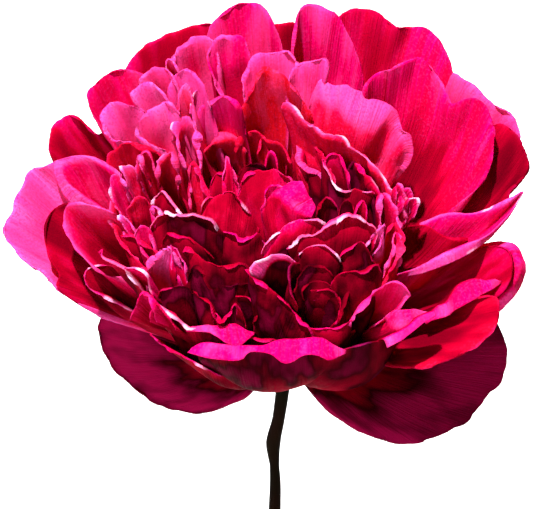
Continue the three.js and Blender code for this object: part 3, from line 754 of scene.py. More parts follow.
MIDDLE_PETALS = {
    "cloud_round": dict(face=-125, belly=5, rim=[
        (134, 143, 66), (124, 142, 67), (115, 138, 69), (107, 132, 71), (103, 122, 74), (104, 110, 77),
        (109, 103, 78), (118, 102, 79), (128, 104, 78), (138, 108, 76), (146, 118, 72),
    ]),
    "cloud_low": dict(face=-118, belly=4, band=(0.35, 0.75), rim=[
        (172, 152, 63), (160, 147, 66), (148, 142, 68), (137, 135, 70), (135, 127, 72), (142, 117, 76),
        (151, 110, 78), (159, 106, 79), (165, 101, 80), (172, 103, 80), (179, 112, 77), (182, 130, 71),
    ]),
    "cloud_high": dict(face=-135, belly=4, rim=[
        (146, 112, 73), (136, 104, 76), (132, 94, 79), (137, 86, 81), (145, 83, 82), (153, 84, 82),
        (160, 90, 81), (166, 98, 79), (170, 112, 74),
    ]),
    "cloud_back": dict(face=-142, belly=4, rim=[
        (140, 92, 76), (140, 79, 81), (147, 72, 83), (155, 68, 85), (163, 67, 85), (170, 72, 85),
        (175, 80, 83), (180, 100, 76),
    ]),
    "cloud_right": dict(face=-148, belly=4, rim=[
        (170, 104, 76), (170, 84, 82), (173, 75, 84), (179, 72, 86), (185, 69, 87), (192, 71, 86),
        (197, 77, 85), (204, 86, 83), (208, 104, 77),
    ]),
    "curl_left": dict(root=(-30, 42, 58), face=-145, belly=1, rim=[
        (170, 76, 82), (166, 66, 86), (167, 59, 88), (171, 59, 88), (177, 68, 86), (180, 78, 83),
    ]),
    "upper_left": dict(face=-155, belly=5, rim=[
        (180, 95, 76), (174, 68, 84), (173, 58, 86), (177, 49, 87), (185, 44, 88), (192, 40, 89),
        (199, 36, 89), (209, 37, 89), (216, 46, 87), (218, 70, 80), (216, 95, 73),
    ]),
    "upper_middle": dict(face=-165, belly=5, rim=[
        (228, 104, 74), (216, 82, 79), (209, 64, 83), (207, 52, 86), (211, 44, 88), (219, 37, 90),
        (226, 35, 90), (233, 37, 90), (241, 36, 90), (248, 45, 88), (250, 58, 84), (250, 85, 76),
    ]),
    "upper_fold": dict(face=176, belly=1, rim=[
        (244, 105, 74), (244, 80, 81), (250, 63, 85), (256, 56, 87), (264, 52, 88), (276, 51, 88),
        (287, 50, 88), (293, 55, 87), (298, 72, 83), (298, 100, 75),
    ]),
    "red_point": dict(face=173, belly=6, tone=-0.9, rim=[
        (236, 130, 68), (241, 108, 75), (250, 92, 80), (256, 80, 84), (262, 69, 87), (269, 67, 87),
        (277, 70, 87), (284, 75, 86), (292, 84, 83), (302, 100, 78), (312, 120, 71),
    ]),
    "before_point": dict(face=-166, belly=5, rim=[
        (196, 135, 67), (198, 115, 73), (204, 104, 77), (212, 100, 79), (220, 96, 80), (228, 97, 80),
        (236, 103, 79), (243, 116, 74), (246, 135, 68),
    ]),
    "curl_middle": dict(root=(-24, 36, 50), face=-158, belly=1, rim=[
        (190, 116, 73), (192, 99, 78), (196, 90, 81), (202, 87, 82), (206, 95, 80), (211, 110, 76),
    ]),
    "red_left": dict(face=-150, dark=(0.0, 0.3), tone=-0.6, belly=4, rim=[
        (172, 140, 68), (176, 112, 75), (180, 92, 80), (186, 84, 82), (191, 94, 80), (194, 120, 73),
        (194, 140, 68),
    ]),
    "upper_right_round": dict(face=166, belly=1, rim=[
        (290, 110, 74), (288, 84, 82), (292, 70, 85), (299, 62, 87), (308, 60, 88), (318, 60, 88),
        (325, 56, 89), (327, 67, 86), (325, 80, 82), (322, 105, 75),
    ]),
    "long_fold": dict(face=142, tone=-0.3, belly=1, dark=(0.0, 0.25), crest=[
        (310, 112, 72), (316, 99, 77), (325, 102, 77), (336, 108, 76), (348, 118, 74), (358, 126, 72),
        (373, 130, 71), (386, 126, 71), (399, 132, 69), (404, 147, 65), (403, 162, 60), (395, 178, 54),
    ], rim=[
        (309, 106, 74), (313, 91, 79), (321, 79, 82), (334, 84, 82), (346, 84, 82), (354, 88, 81),
        (361, 90, 80), (366, 99, 78), (378, 98, 78), (391, 105, 76), (399, 113, 74), (402, 127, 71),
        (410, 134, 68), (414, 147, 65), (411, 161, 61), (397, 180, 53),
    ]),
    "right_flap": dict(face=62, belly=5, crest=[
        (424, 320, 35), (438, 306, 39), (447, 301, 41), (456, 292, 43), (463, 285, 44), (476, 281, 45),
        (486, 283, 45), (494, 280, 45), (502, 281, 44),
    ], rim=[
        (426, 324, 35), (434, 318, 38), (447, 315, 40), (461, 310, 42), (475, 302, 43), (488, 293, 44),
        (497, 287, 44), (503, 282, 44),
    ]),
    "right_patch": dict(face=50, belly=4, crest=[
        (386, 322, 40), (395, 328, 41), (405, 327, 42), (416, 321, 43), (428, 315, 43),
    ], rim=[
        (384, 318, 42), (394, 311, 44), (405, 310, 45), (416, 309, 45), (428, 312, 44),
    ]),
    "right_strip": dict(face=48, belly=5, crest=[
        (384, 340, 39), (398, 334, 41), (410, 326, 43), (420, 317, 45), (434, 310, 46),
    ], rim=[
        (388, 348, 38), (400, 342, 40), (412, 333, 42), (424, 323, 44), (436, 315, 46),
    ]),
    "right_small_spoon": dict(face=44, belly=5, rim=[
        (350, 326, 42), (354, 318, 44), (361, 308, 46), (370, 297, 48), (378, 288, 50), (385, 284, 51),
        (393, 281, 52), (401, 283, 52), (407, 289, 51), (407, 295, 49), (402, 302, 47), (392, 312, 43),
        (375, 326, 38),
    ]),
    "front_left_lip": dict(face=-52, belly=9, rim=[
        (99, 250, 52), (105, 258, 52), (118, 264, 51), (127, 269, 50), (140, 285, 46), (152, 297, 43),
        (165, 309, 41), (180, 320, 39), (190, 327, 38), (206, 329, 37),
    ]),
    "left_flap": dict(face=-55, belly=5, rim=[
        (124, 268, 51), (131, 268, 52), (140, 269, 53), (147, 274, 52), (149, 284, 48), (153, 297, 44),
    ]),
    "outer_fold_first": dict(face=-55, belly=5, rim=[
        (130, 320, 36), (136, 303, 42), (142, 292, 45), (148, 296, 45), (153, 306, 43), (156, 322, 37),
    ]),
    "outer_fold_second": dict(face=-48, belly=5, rim=[
        (150, 322, 37), (153, 308, 42), (157, 303, 44), (162, 309, 43), (169, 318, 41), (176, 330, 37),
    ]),
    "front_lip": dict(face=-8, belly=8, crest=[
        (186, 326, 37), (213, 327, 38), (232, 324, 39), (246, 330, 38), (255, 332, 37),
    ], rim=[
        (186, 330, 37), (212, 335, 38), (226, 343, 38), (238, 346, 38), (248, 338, 39), (254, 334, 38),
    ]),
    "front_lip_right": dict(face=4, belly=8, rim=[
        (240, 336, 37), (256, 338, 37), (286, 340, 36), (330, 339, 35), (356, 331, 37),
    ]),
}

CROWN_PETALS = {
    "long_rim": dict(root=(8, 8, 16), face=112, lip=1.3, tone=-0.5, dark=(0.0, 0.3), belly=7, rim=[
        (281, 107, 79), (285, 101, 81), (294, 109, 79), (303, 117, 77), (314, 126, 75), (325, 134, 73),
        (338, 137, 72), (350, 144, 70), (362, 153, 68), (375, 167, 65), (385, 180, 62), (395, 194, 60),
        (404, 208, 57), (410, 222, 52),
    ]),
    "long_rim_inner": dict(root=(8, 4, 18), face=105, belly=5, rim=[
        (344, 158, 63), (350, 154, 65), (357, 162, 64), (364, 172, 63), (376, 188, 60), (386, 204, 57),
        (394, 222, 53),
    ]),
    "frill_first": dict(root=(12, 8, 16), face=98, belly=2, rim=[
        (396, 206, 57), (397, 193, 61), (397, 183, 64), (401, 185, 64), (406, 195, 61), (407, 208, 57),
    ]),
    "frill_second": dict(root=(12, 7, 16), face=96, belly=2, rim=[
        (403, 212, 56), (403, 198, 60), (405, 188, 63), (410, 188, 63), (412, 197, 60), (411, 212, 56),
    ]),
    "frill_third": dict(root=(12, 6, 16), face=92, belly=2, rim=[
        (407, 222, 53), (408, 208, 57), (410, 198, 61), (417, 197, 61), (418, 204, 59), (413, 218, 54),
    ]),
    "back_wall_left": dict(root=(-8, 10, 18), face=-155, tone=-0.7, dark=(0.0, 0.3), belly=7, crest=[
        (196, 172, 58), (200, 156, 62), (212, 144, 65), (223, 139, 66), (234, 138, 66), (246, 152, 62),
    ], rim=[
        (192, 170, 58), (199, 153, 62), (211, 139, 65), (222, 132, 66), (232, 131, 66), (239, 136, 65),
        (248, 150, 62),
    ]),
    "back_wall_middle": dict(root=(0, 11, 18), face=-172, tone=-0.7, dark=(0.0, 0.3), belly=5, rim=[
        (234, 152, 62), (239, 139, 66), (247, 131, 68), (256, 130, 68), (263, 136, 66), (269, 152, 62),
    ]),
    "back_wall_right": dict(root=(4, 11, 18), face=170, tone=-0.7, dark=(0.0, 0.3), belly=5, rim=[
        (257, 154, 61), (262, 136, 66), (268, 141, 66), (276, 140, 66), (283, 146, 64), (291, 162, 60),
    ]),
    "back_strip": dict(root=(0, 8, 20), face=178, belly=3, rim=[
        (264, 176, 58), (266, 158, 62), (270, 150, 64), (276, 158, 62), (278, 176, 58),
    ]),
    "inner_right_wall": dict(root=(9, 2, 22), face=75, dark=(0.0, 0.3), tone=-0.4, belly=6, rim=[
        (300, 178, 58), (298, 160, 63), (299, 148, 66), (295, 134, 69), (304, 133, 69), (313, 142, 68),
        (324, 156, 66), (332, 176, 62), (338, 196, 57),
    ]),
    "inner_right_lip": dict(root=(8, -2, 24), face=60, belly=4, crest=[
        (298, 140, 66), (301, 150, 65), (300, 158, 64), (308, 166, 62), (322, 174, 60), (334, 192, 56),
    ], rim=[
        (294, 136, 67), (296, 148, 66), (295, 158, 64), (304, 169, 62), (318, 174, 60), (332, 196, 55),
    ]),
    "cup_back": dict(root=(14, 2, 22), face=70, belly=4, rim=[
        (322, 185, 60), (324, 168, 64), (326, 157, 67), (332, 152, 68), (339, 155, 68), (345, 166, 66),
        (350, 184, 62),
    ]),
    "cup_front": dict(root=(14, -8, 24), face=-10, lip=1.3, belly=5, rim=[
        (323, 158, 70), (326, 168, 69), (331, 178, 67), (338, 187, 66), (346, 191, 65), (354, 188, 65),
        (364, 189, 65), (375, 192, 64),
    ]),
    "dark_wall_right": dict(root=(16, -2, 20), face=88, belly=5, rim=[
        (346, 170, 62), (354, 160, 64), (362, 170, 62), (370, 190, 59), (376, 208, 56), (384, 226, 52),
    ]),
    "pink_blade": dict(root=(20, -12, 20), face=60, belly=3, dark=(0.1, 0.3), band=(0.4, 0.7), rim=[
        (366, 262, 50), (362, 249, 53), (370, 236, 57), (377, 228, 59), (385, 223, 60), (381, 238, 56),
        (373, 255, 52),
    ]),
    "pale_edge": dict(root=(20, -8, 20), face=80, belly=2, rim=[
        (380, 236, 53), (381, 220, 57), (380, 204, 61), (382, 190, 64), (388, 196, 63), (395, 208, 60),
        (401, 222, 57), (403, 236, 53),
    ]),
    "right_wall_outer": dict(root=(12, -4, 14), face=82, dark=(0.0, 0.3), tone=-0.5, belly=6, rim=[
        (382, 287, 46), (388, 275, 49), (396, 262, 52), (401, 248, 55), (403, 238, 57), (399, 228, 59),
        (394, 222, 60), (388, 232, 58),
    ]),
    "centre_back": dict(root=(-5, -6, 28), face=5, belly=3, dark=(0.1, 0.4), rim=[
        (238, 200, 56), (241, 184, 60), (247, 171, 64), (256, 167, 65), (264, 169, 65), (273, 168, 65),
        (283, 172, 64), (292, 180, 61), (298, 196, 56),
    ]),
    "centre_front": dict(root=(3, -14, 32), face=0, belly=3, tone=0.95, dark=(0.1, 0.4), crest=[
        (261, 226, 50), (264, 210, 56), (269, 196, 60), (278, 196, 62), (288, 204, 62), (298, 211, 61),
        (308, 218, 59),
    ], rim=[
        (260, 222, 51), (262, 206, 57), (267, 191, 62), (279, 184, 65), (291, 179, 66), (301, 181, 66),
        (309, 191, 65), (316, 205, 62), (312, 215, 60),
    ]),
    "centre_left": dict(root=(-16, -12, 28), face=-12, belly=4, lip=1.2, dark=(0.1, 0.4), tone=-0.4, rim=[
        (200, 216, 54), (204, 204, 58), (211, 195, 61), (220, 193, 62), (229, 190, 63), (237, 196, 61),
        (246, 207, 58), (253, 216, 55), (260, 228, 51),
    ]),
    "spike": dict(root=(-14, -4, 30), face=-10, belly=2, rim=[
        (226, 196, 57), (224, 176, 62), (225, 162, 65), (227, 154, 67), (231, 163, 65), (235, 178, 61),
        (239, 196, 56),
    ]),
    "behind_spike": dict(root=(-12, 0, 24), face=-20, belly=3, rim=[
        (207, 200, 52), (210, 185, 57), (215, 175, 60), (222, 169, 62), (230, 168, 62), (240, 178, 59),
        (246, 192, 55),
    ]),
    "dark_behind_centre": dict(root=(-6, 4, 24), face=-5, tone=-0.5, belly=3, rim=[
        (236, 190, 56), (240, 172, 61), (247, 165, 63), (258, 163, 63), (268, 168, 61),
    ]),
    "left_blade_high": dict(root=(-15, 10, 20), face=-125, dark=(0.0, 0.3), belly=4, rim=[
        (184, 168, 64), (178, 145, 70), (176, 128, 73), (178, 118, 75), (186, 114, 76), (192, 122, 74),
        (197, 138, 71), (200, 152, 68), (200, 168, 64),
    ]),
    "left_blade_low": dict(root=(-18, 2, 20), face=-105, dark=(0.0, 0.3), tone=-0.4, belly=3, rim=[
        (190, 208, 52), (190, 185, 58), (189, 170, 62), (192, 162, 64), (198, 163, 64), (201, 172, 62),
        (204, 184, 59), (210, 196, 56), (212, 210, 52),
    ]),
    "white_edge": dict(root=(-20, -6, 18), face=-75, belly=5, rim=[
        (152, 206, 54), (156, 195, 57), (162, 190, 59), (170, 199, 59), (178, 208, 58), (186, 217, 56),
    ]),
    "wide_band": dict(root=(-13, -18, 18), face=-32, lip=1.3, belly=6, rim=[
        (148, 236, 51), (154, 222, 56), (163, 212, 60), (173, 210, 63), (184, 214, 63), (196, 214, 63),
        (208, 218, 62), (217, 225, 60), (226, 235, 56),
    ]),
    "second_band": dict(root=(-7, -20, 22), face=-8, belly=4, tone=0.95, rim=[
        (211, 252, 49), (214, 240, 53), (221, 231, 57), (231, 233, 57), (240, 237, 56), (250, 236, 56),
        (259, 232, 56), (265, 244, 52),
    ]),
    "third_band": dict(root=(-9, -24, 16), face=-20, belly=5, rim=[
        (176, 262, 48), (182, 247, 54), (192, 248, 56), (202, 256, 55), (212, 263, 54), (228, 263, 54),
        (244, 262, 53), (256, 268, 50),
    ]),
    "ridge_band": dict(root=(-12, -20, 16), face=-32, belly=5, rim=[
        (160, 246, 50), (166, 234, 56), (176, 232, 58), (188, 236, 58), (199, 243, 57), (208, 251, 55),
        (214, 260, 52),
    ]),
    "cleft_fold": dict(root=(-8, -27, 14), face=-15, belly=2, rim=[
        (212, 326, 38), (215, 311, 43), (221, 322, 41), (228, 314, 43), (235, 302, 46), (240, 318, 41),
    ]),
    "right_stripe": dict(root=(20, -10, 18), face=78, belly=4, rim=[
        (384, 278, 47), (388, 262, 51), (392, 246, 55), (396, 230, 58), (401, 238, 57), (400, 254, 53),
        (394, 268, 49), (388, 282, 46),
    ]),
    "triangle": dict(root=(-16, -24, 18), face=-30, belly=2, rim=[
        (199, 296, 39), (205, 283, 43), (213, 272, 47), (216, 282, 44), (217, 296, 39),
    ]),
    "tulip": dict(root=(-26, -16, 14), face=-100, belly=5, dark=(0.0, 0.3), band=(0.3, 0.7), rim=[
        (162, 300, 38), (152, 291, 42), (148, 276, 46), (150, 262, 50), (158, 253, 53), (168, 247, 55),
        (176, 256, 52), (184, 272, 47),
    ]),
    "tulip_blade": dict(root=(-26, -24, 16), face=-30, belly=2, rim=[
        (188, 292, 42), (179, 276, 47), (174, 258, 52), (168, 243, 56), (176, 248, 54), (184, 260, 51),
        (188, 274, 47), (190, 290, 43),
    ]),
    "tulip_front": dict(root=(-24, -26, 16), face=-40, belly=2, rim=[
        (156, 302, 40), (162, 291, 45), (170, 286, 47), (184, 285, 47), (192, 292, 44),
    ]),
    "deep_blade": dict(root=(-16, -28, 14), face=-35, belly=3, rim=[
        (186, 292, 42), (192, 289, 44), (200, 296, 45), (208, 301, 46), (213, 311, 43), (219, 326, 38),
    ]),
    "deep_ridge": dict(root=(-8, -26, 14), face=-10, belly=3, rim=[
        (218, 328, 37), (223, 318, 40), (229, 310, 43), (235, 301, 46), (242, 312, 43), (246, 328, 38),
    ]),
    "deep_round": dict(root=(-3, -26, 14), face=0, belly=3, rim=[
        (252, 332, 36), (256, 315, 41), (263, 305, 44), (271, 308, 44), (276, 320, 41), (278, 334, 37),
    ]),
    "deep_long": dict(root=(-6, -22, 16), face=-12, belly=3, rim=[
        (216, 300, 42), (222, 292, 45), (236, 296, 45), (248, 296, 45), (258, 308, 42),
    ]),
    "first_arc": dict(root=(0, -16, 24), face=-15, lip=1.3, band=(0.45, 0.85), belly=4, rim=[
        (262, 254, 50), (266, 246, 53), (272, 237, 56), (280, 228, 58), (290, 221, 60), (303, 218, 61),
        (315, 218, 61), (328, 224, 58),
    ]),
    "second_arc": dict(root=(12, -16, 24), face=8, lip=1.3, band=(0.45, 0.85), belly=4, rim=[
        (286, 246, 54), (296, 238, 57), (308, 232, 59), (320, 230, 60), (330, 225, 61), (338, 218, 62),
        (347, 215, 63), (357, 216, 63), (366, 219, 62), (373, 229, 59), (376, 244, 55),
    ]),
    "third_arc": dict(root=(10, -20, 24), face=5, lip=1.3, belly=4, rim=[
        (298, 256, 53), (303, 249, 55), (310, 245, 57), (318, 244, 57), (328, 248, 56), (336, 254, 55),
        (342, 262, 52),
    ]),
    "fourth_arc": dict(root=(17, -18, 24), face=25, belly=4, rim=[
        (338, 262, 52), (344, 251, 55), (352, 245, 57), (361, 240, 58), (368, 248, 56), (374, 262, 52),
    ]),
    "rosette_back": dict(root=(6, -16, 20), face=-60, belly=3, crest=[
        (298, 268, 53), (290, 262, 56), (279, 260, 57), (270, 263, 56), (266, 269, 54), (263, 276, 52),
        (257, 281, 50),
    ], rim=[
        (297, 263, 56), (290, 257, 58), (278, 254, 59), (266, 256, 59), (256, 260, 58), (249, 267, 56),
        (250, 276, 53),
    ]),
    "rosette_front": dict(root=(0, -26, 14), face=-28, belly=6, rim=[
        (247, 267, 56), (249, 273, 55), (256, 278, 53), (264, 282, 52), (275, 290, 50), (283, 299, 48),
        (291, 307, 46), (303, 319, 43), (318, 338, 37),
    ]),
    "rosette_left": dict(root=(8, -22, 20), face=-95, belly=3, rim=[
        (300, 262, 57), (292, 264, 57), (290, 276, 54), (291, 291, 51), (298, 306, 47),
    ]),
    "rosette_right": dict(root=(18, -24, 18), face=35, belly=5, rim=[
        (330, 288, 49), (334, 277, 52), (341, 272, 54), (352, 271, 55), (365, 269, 55), (376, 264, 55),
        (384, 272, 52),
    ]),
    "rosette_ring": dict(root=(13, -26, 16), face=50, belly=4, rim=[
        (298, 296, 46), (308, 290, 48), (322, 288, 49), (334, 292, 48), (340, 303, 45), (338, 317, 42),
        (330, 327, 38),
    ]),
    "rosette_heart": dict(root=(11, -26, 18), face=60, belly=3, rim=[
        (305, 313, 41), (307, 303, 44), (315, 297, 46), (324, 299, 45), (330, 308, 42), (327, 317, 39),
    ]),
    "rosette_low": dict(root=(14, -28, 12), face=15, belly=5, rim=[
        (304, 324, 40), (314, 328, 40), (328, 328, 41), (340, 325, 42), (352, 320, 44),
    ]),
    "wall_first": dict(root=(-20, 2, 14), face=-88, dark=(0.0, 0.3), belly=3, rim=[
        (114, 204, 53), (111, 190, 57), (110, 177, 61), (113, 173, 62), (119, 178, 60), (126, 186, 58),
        (128, 200, 54),
    ]),
    "wall_second": dict(root=(-18, 5, 14), face=-95, dark=(0.0, 0.3), tone=-0.3, belly=3, rim=[
        (128, 188, 59), (124, 174, 64), (122, 166, 66), (129, 164, 66), (135, 168, 65), (140, 178, 62),
        (142, 190, 58),
    ]),
    "wall_third": dict(root=(-18, 8, 14), face=-105, dark=(0.0, 0.3), tone=-0.5, belly=3, rim=[
        (138, 182, 61), (136, 168, 66), (139, 154, 70), (142, 163, 68), (147, 176, 63), (150, 186, 60),
    ]),
    "wall_fourth": dict(root=(-17, 9, 15), face=-110, dark=(0.0, 0.3), tone=-0.4, belly=3, rim=[
        (143, 172, 65), (140, 159, 69), (142, 151, 71), (147, 150, 71), (151, 158, 69), (154, 172, 65),
    ]),
    "wall_fifth": dict(root=(-17, 8, 16), face=-115, dark=(0.0, 0.3), tone=-0.6, belly=5, rim=[
        (165, 200, 56), (160, 187, 60), (157, 174, 65), (159, 162, 68), (164, 154, 70), (171, 150, 71),
        (175, 158, 69), (177, 174, 64), (178, 190, 59),
    ]),
    "wall_sixth": dict(root=(-22, -10, 14), face=-75, dark=(0.0, 0.3), belly=3, rim=[
        (170, 238, 50), (161, 226, 54), (153, 214, 58), (152, 206, 60), (157, 206, 60), (164, 216, 57),
        (170, 230, 53),
    ]),
    "wall_seventh": dict(root=(-22, -4, 14), face=-82, dark=(0.0, 0.3), tone=-0.5, belly=4, rim=[
        (132, 228, 52), (129, 214, 56), (131, 202, 60), (137, 195, 62), (144, 197, 61), (150, 206, 58),
        (154, 222, 53),
    ]),
    "wall_eighth": dict(root=(-22, -8, 14), face=-78, dark=(0.0, 0.3), belly=3, rim=[
        (138, 244, 48), (128, 232, 52), (121, 220, 56), (120, 213, 58), (127, 218, 56), (134, 227, 54),
        (141, 240, 49),
    ]),
    "wall_ninth": dict(root=(-22, -12, 14), face=-70, dark=(0.0, 0.3), belly=3, rim=[
        (151, 260, 46), (141, 247, 50), (135, 233, 54), (140, 226, 56), (149, 227, 55), (153, 238, 52),
        (155, 256, 47),
    ]),
    "wall_tenth": dict(root=(-20, -2, 12), face=-84, dark=(0.0, 0.3), tone=-0.6, belly=3, rim=[
        (121, 246, 45), (115, 232, 49), (111, 214, 54), (110, 200, 57), (115, 204, 56), (121, 220, 52),
        (126, 240, 46),
    ]),
    "wall_low": dict(root=(-20, -14, 10), face=-66, tone=-0.4, belly=5, rim=[
        (158, 276, 42), (140, 262, 46), (124, 244, 49), (118, 234, 51), (128, 232, 52), (144, 242, 51),
        (158, 254, 48), (164, 270, 43),
    ]),
    "under_clouds": dict(root=(-18, 10, 16), face=-118, dark=(0.0, 0.3), tone=-0.7, belly=5, rim=[
        (106, 166, 61), (110, 155, 64), (116, 146, 67), (125, 142, 69), (135, 144, 69), (146, 147, 69),
        (156, 151, 68), (164, 158, 66),
    ]),
    "band_shadow": dict(root=(-9, -26, 14), face=-22, belly=4, rim=[
        (186, 286, 44), (190, 270, 50), (198, 264, 53), (206, 270, 52), (214, 282, 49), (232, 284, 49),
        (250, 282, 48),
    ]),
    "hollow_left": dict(root=(10, -8, 22), face=10, belly=2, rim=[
        (316, 216, 61), (321, 203, 64), (329, 197, 66), (336, 204, 64), (339, 216, 61),
    ]),
    "hollow_middle": dict(root=(14, -8, 22), face=20, belly=2, rim=[
        (338, 216, 62), (341, 204, 65), (347, 199, 67), (353, 205, 65), (356, 216, 62),
    ]),
    "hollow_right": dict(root=(17, -7, 22), face=35, belly=2, rim=[
        (355, 218, 62), (357, 206, 65), (363, 199, 67), (367, 208, 65), (367, 220, 62),
    ]),
    "rosette_fold_back": dict(root=(13, -24, 18), face=0, belly=3, rim=[
        (294, 292, 49), (297, 278, 52), (304, 268, 54), (314, 263, 55), (325, 266, 54), (334, 277, 51),
    ]),
    "rosette_fold_front": dict(root=(13, -25, 18), face=10, belly=3, rim=[
        (304, 300, 46), (303, 289, 49), (309, 281, 51), (319, 279, 51), (329, 284, 50), (336, 295, 47),
        (338, 308, 44),
    ]),
    "rosette_fold_right": dict(root=(16, -25, 18), face=40, belly=3, rim=[
        (338, 322, 42), (343, 308, 45), (347, 294, 48), (353, 287, 50), (361, 290, 49), (366, 300, 46),
    ]),
}

# How each group of petals is made. Lengths are in mm, and places run from 0 at the root to 1 at the rim.
# rows: points from root to rim; spacing: between columns of points; root_ring: radius and height of the
# roots; claw: width at the root; wave and waves: depth of the broad waves, and their lengths and shares;
# furrow and crimp: depths of fine waves along the whole petal and near its rim; crumple: depth and width
# of sharp folds; notch: depth of the dents in the rim; lip: width of the edge that bends outward;
# depth: painted shade at the root, deep in the bloom; frost, the rim highlight: how strong the painted
# highlight on the rim is; band: where the rim's painted light and shade begins and is full; dark: where
# the root's painted shade begins to fade and is gone.
GUARD_STYLE = dict(
    rows=33, spacing=1.4, root_ring=(7, 3), claw=9, wave=0.4, waves=((37, 1.0), (19, 0.5)),
    furrow=0.06, crimp=0.08, crumple=(0.6, 30), notch=0.1, lip=0.8,
    depth=0.6, rim_highlight=0.2, band=(0.5, 0.95), dark=(0.15, 0.5),
)
MIDDLE_STYLE = dict(
    rows=29, spacing=1.2, root_ring=(9, 10), claw=7, wave=0.6, waves=((23, 1.0), (12, 0.5)),
    furrow=0.1, crimp=0.25, crumple=(0.9, 16), notch=0.35, lip=1.4,
    depth=0.9, rim_highlight=0.25, band=(0.5, 0.95), dark=(0.15, 0.5),
)
CROWN_STYLE = dict(
    rows=25, spacing=1.0, claw=5, wave=0.6, waves=((17, 1.0), (9, 0.5)),
    furrow=0.15, crimp=0.25, crumple=(1.0, 12), notch=0.7, lip=1.8,
    depth=1.0, rim_highlight=0.2, band=(0.6, 0.95), dark=(0.3, 0.7),
)

# Each petal's number, times one of these, spreads the phases of waves, in radians, and the tones evenly
GOLDEN_ANGLE = 2.39996
GOLDEN_SHARE = 0.618034

# Where petals bend between root and rim, how much of the belly is left there, and how flat their edges stay
BEND_PLACE = 0.45
SHOULDER_PLACE = 0.8
SHOULDER_BELLY = 0.75
EDGE_FLATNESS = 0.6

# Waves, given as their lengths in mm and their shares
NOTCH_WAVES = ((9.1, 0.5), (4.7, 0.3), (2.7, 0.2))
FURROW_WAVES = ((4.1, 0.6), (2.7, 0.4))
CRIMP_WAVES = ((8.3, 0.6), (4.9, 0.4))
LIP_WAVES = ((19.0, 0.6), (8.0, 0.5))
WAVE_SLANT = 6  # mm that the broad waves shift sideways from root to rim
WAVE_GROWTH = 1.5  # the power by which they deepen towards the rim
WAVE_PHASE = 1.7  # sets the waves of a ripple apart
CRIMP_PLACES = (0.5, 1)  # where crimps begin and are full

# Crumples are the mean of a few waves whose troughs are turned up into crests
CRUMPLE_WAVES = 7
CRUMPLE_GAIN = 2.5
CRUMPLE_MIDDLE = 0.4
CRUMPLE_FADE = 0.5  # how much shallower they are at the petal's sides
CRUMPLE_PLACES = (0, 0.5)  # where crumples begin and are full

# Lips and painted rim highlights
LIP_MIDDLE = 0.35
HIGHLIGHTED_LIP_LEAST = 0.5
HIGHLIGHTED_FROM = 0.9  # petals whose painted rim highlight is stronger than this have an unbroken lip
LIP_ENDS = 4  # the larger this power, the nearer to its ends a lip keeps its width
HIGHLIGHTED_LIP_ENDS = 16
LIP_DROP = 0.3  # how far a lip hangs for 1 that it reaches outward
RIM_HIGHLIGHT_PLACES = (0.66, 0.76)  # where the painted rim highlight begins and is full
FOLD_BAND = (0.7, 0.78)  # where a folded petal's painted rim shading begins and is full

COLUMN_LIMITS = (16, 100)  # the fewest and the most columns of points across a petal
WIDE_PETAL = 35  # petals with a rim shorter than this many mm have smaller waves and lips
SMOOTH_DEGREE = 5  # of the polynomial that a petal's edge follows further down
FINE_STEPS = 6  # how many times finer a curve is measured than it is divided
ACROSS_SCALE = 20  # mm for 1 of the value "across"
ROOT_EDGE = 0.05  # the least share of its width that a petal is taken to have near its root
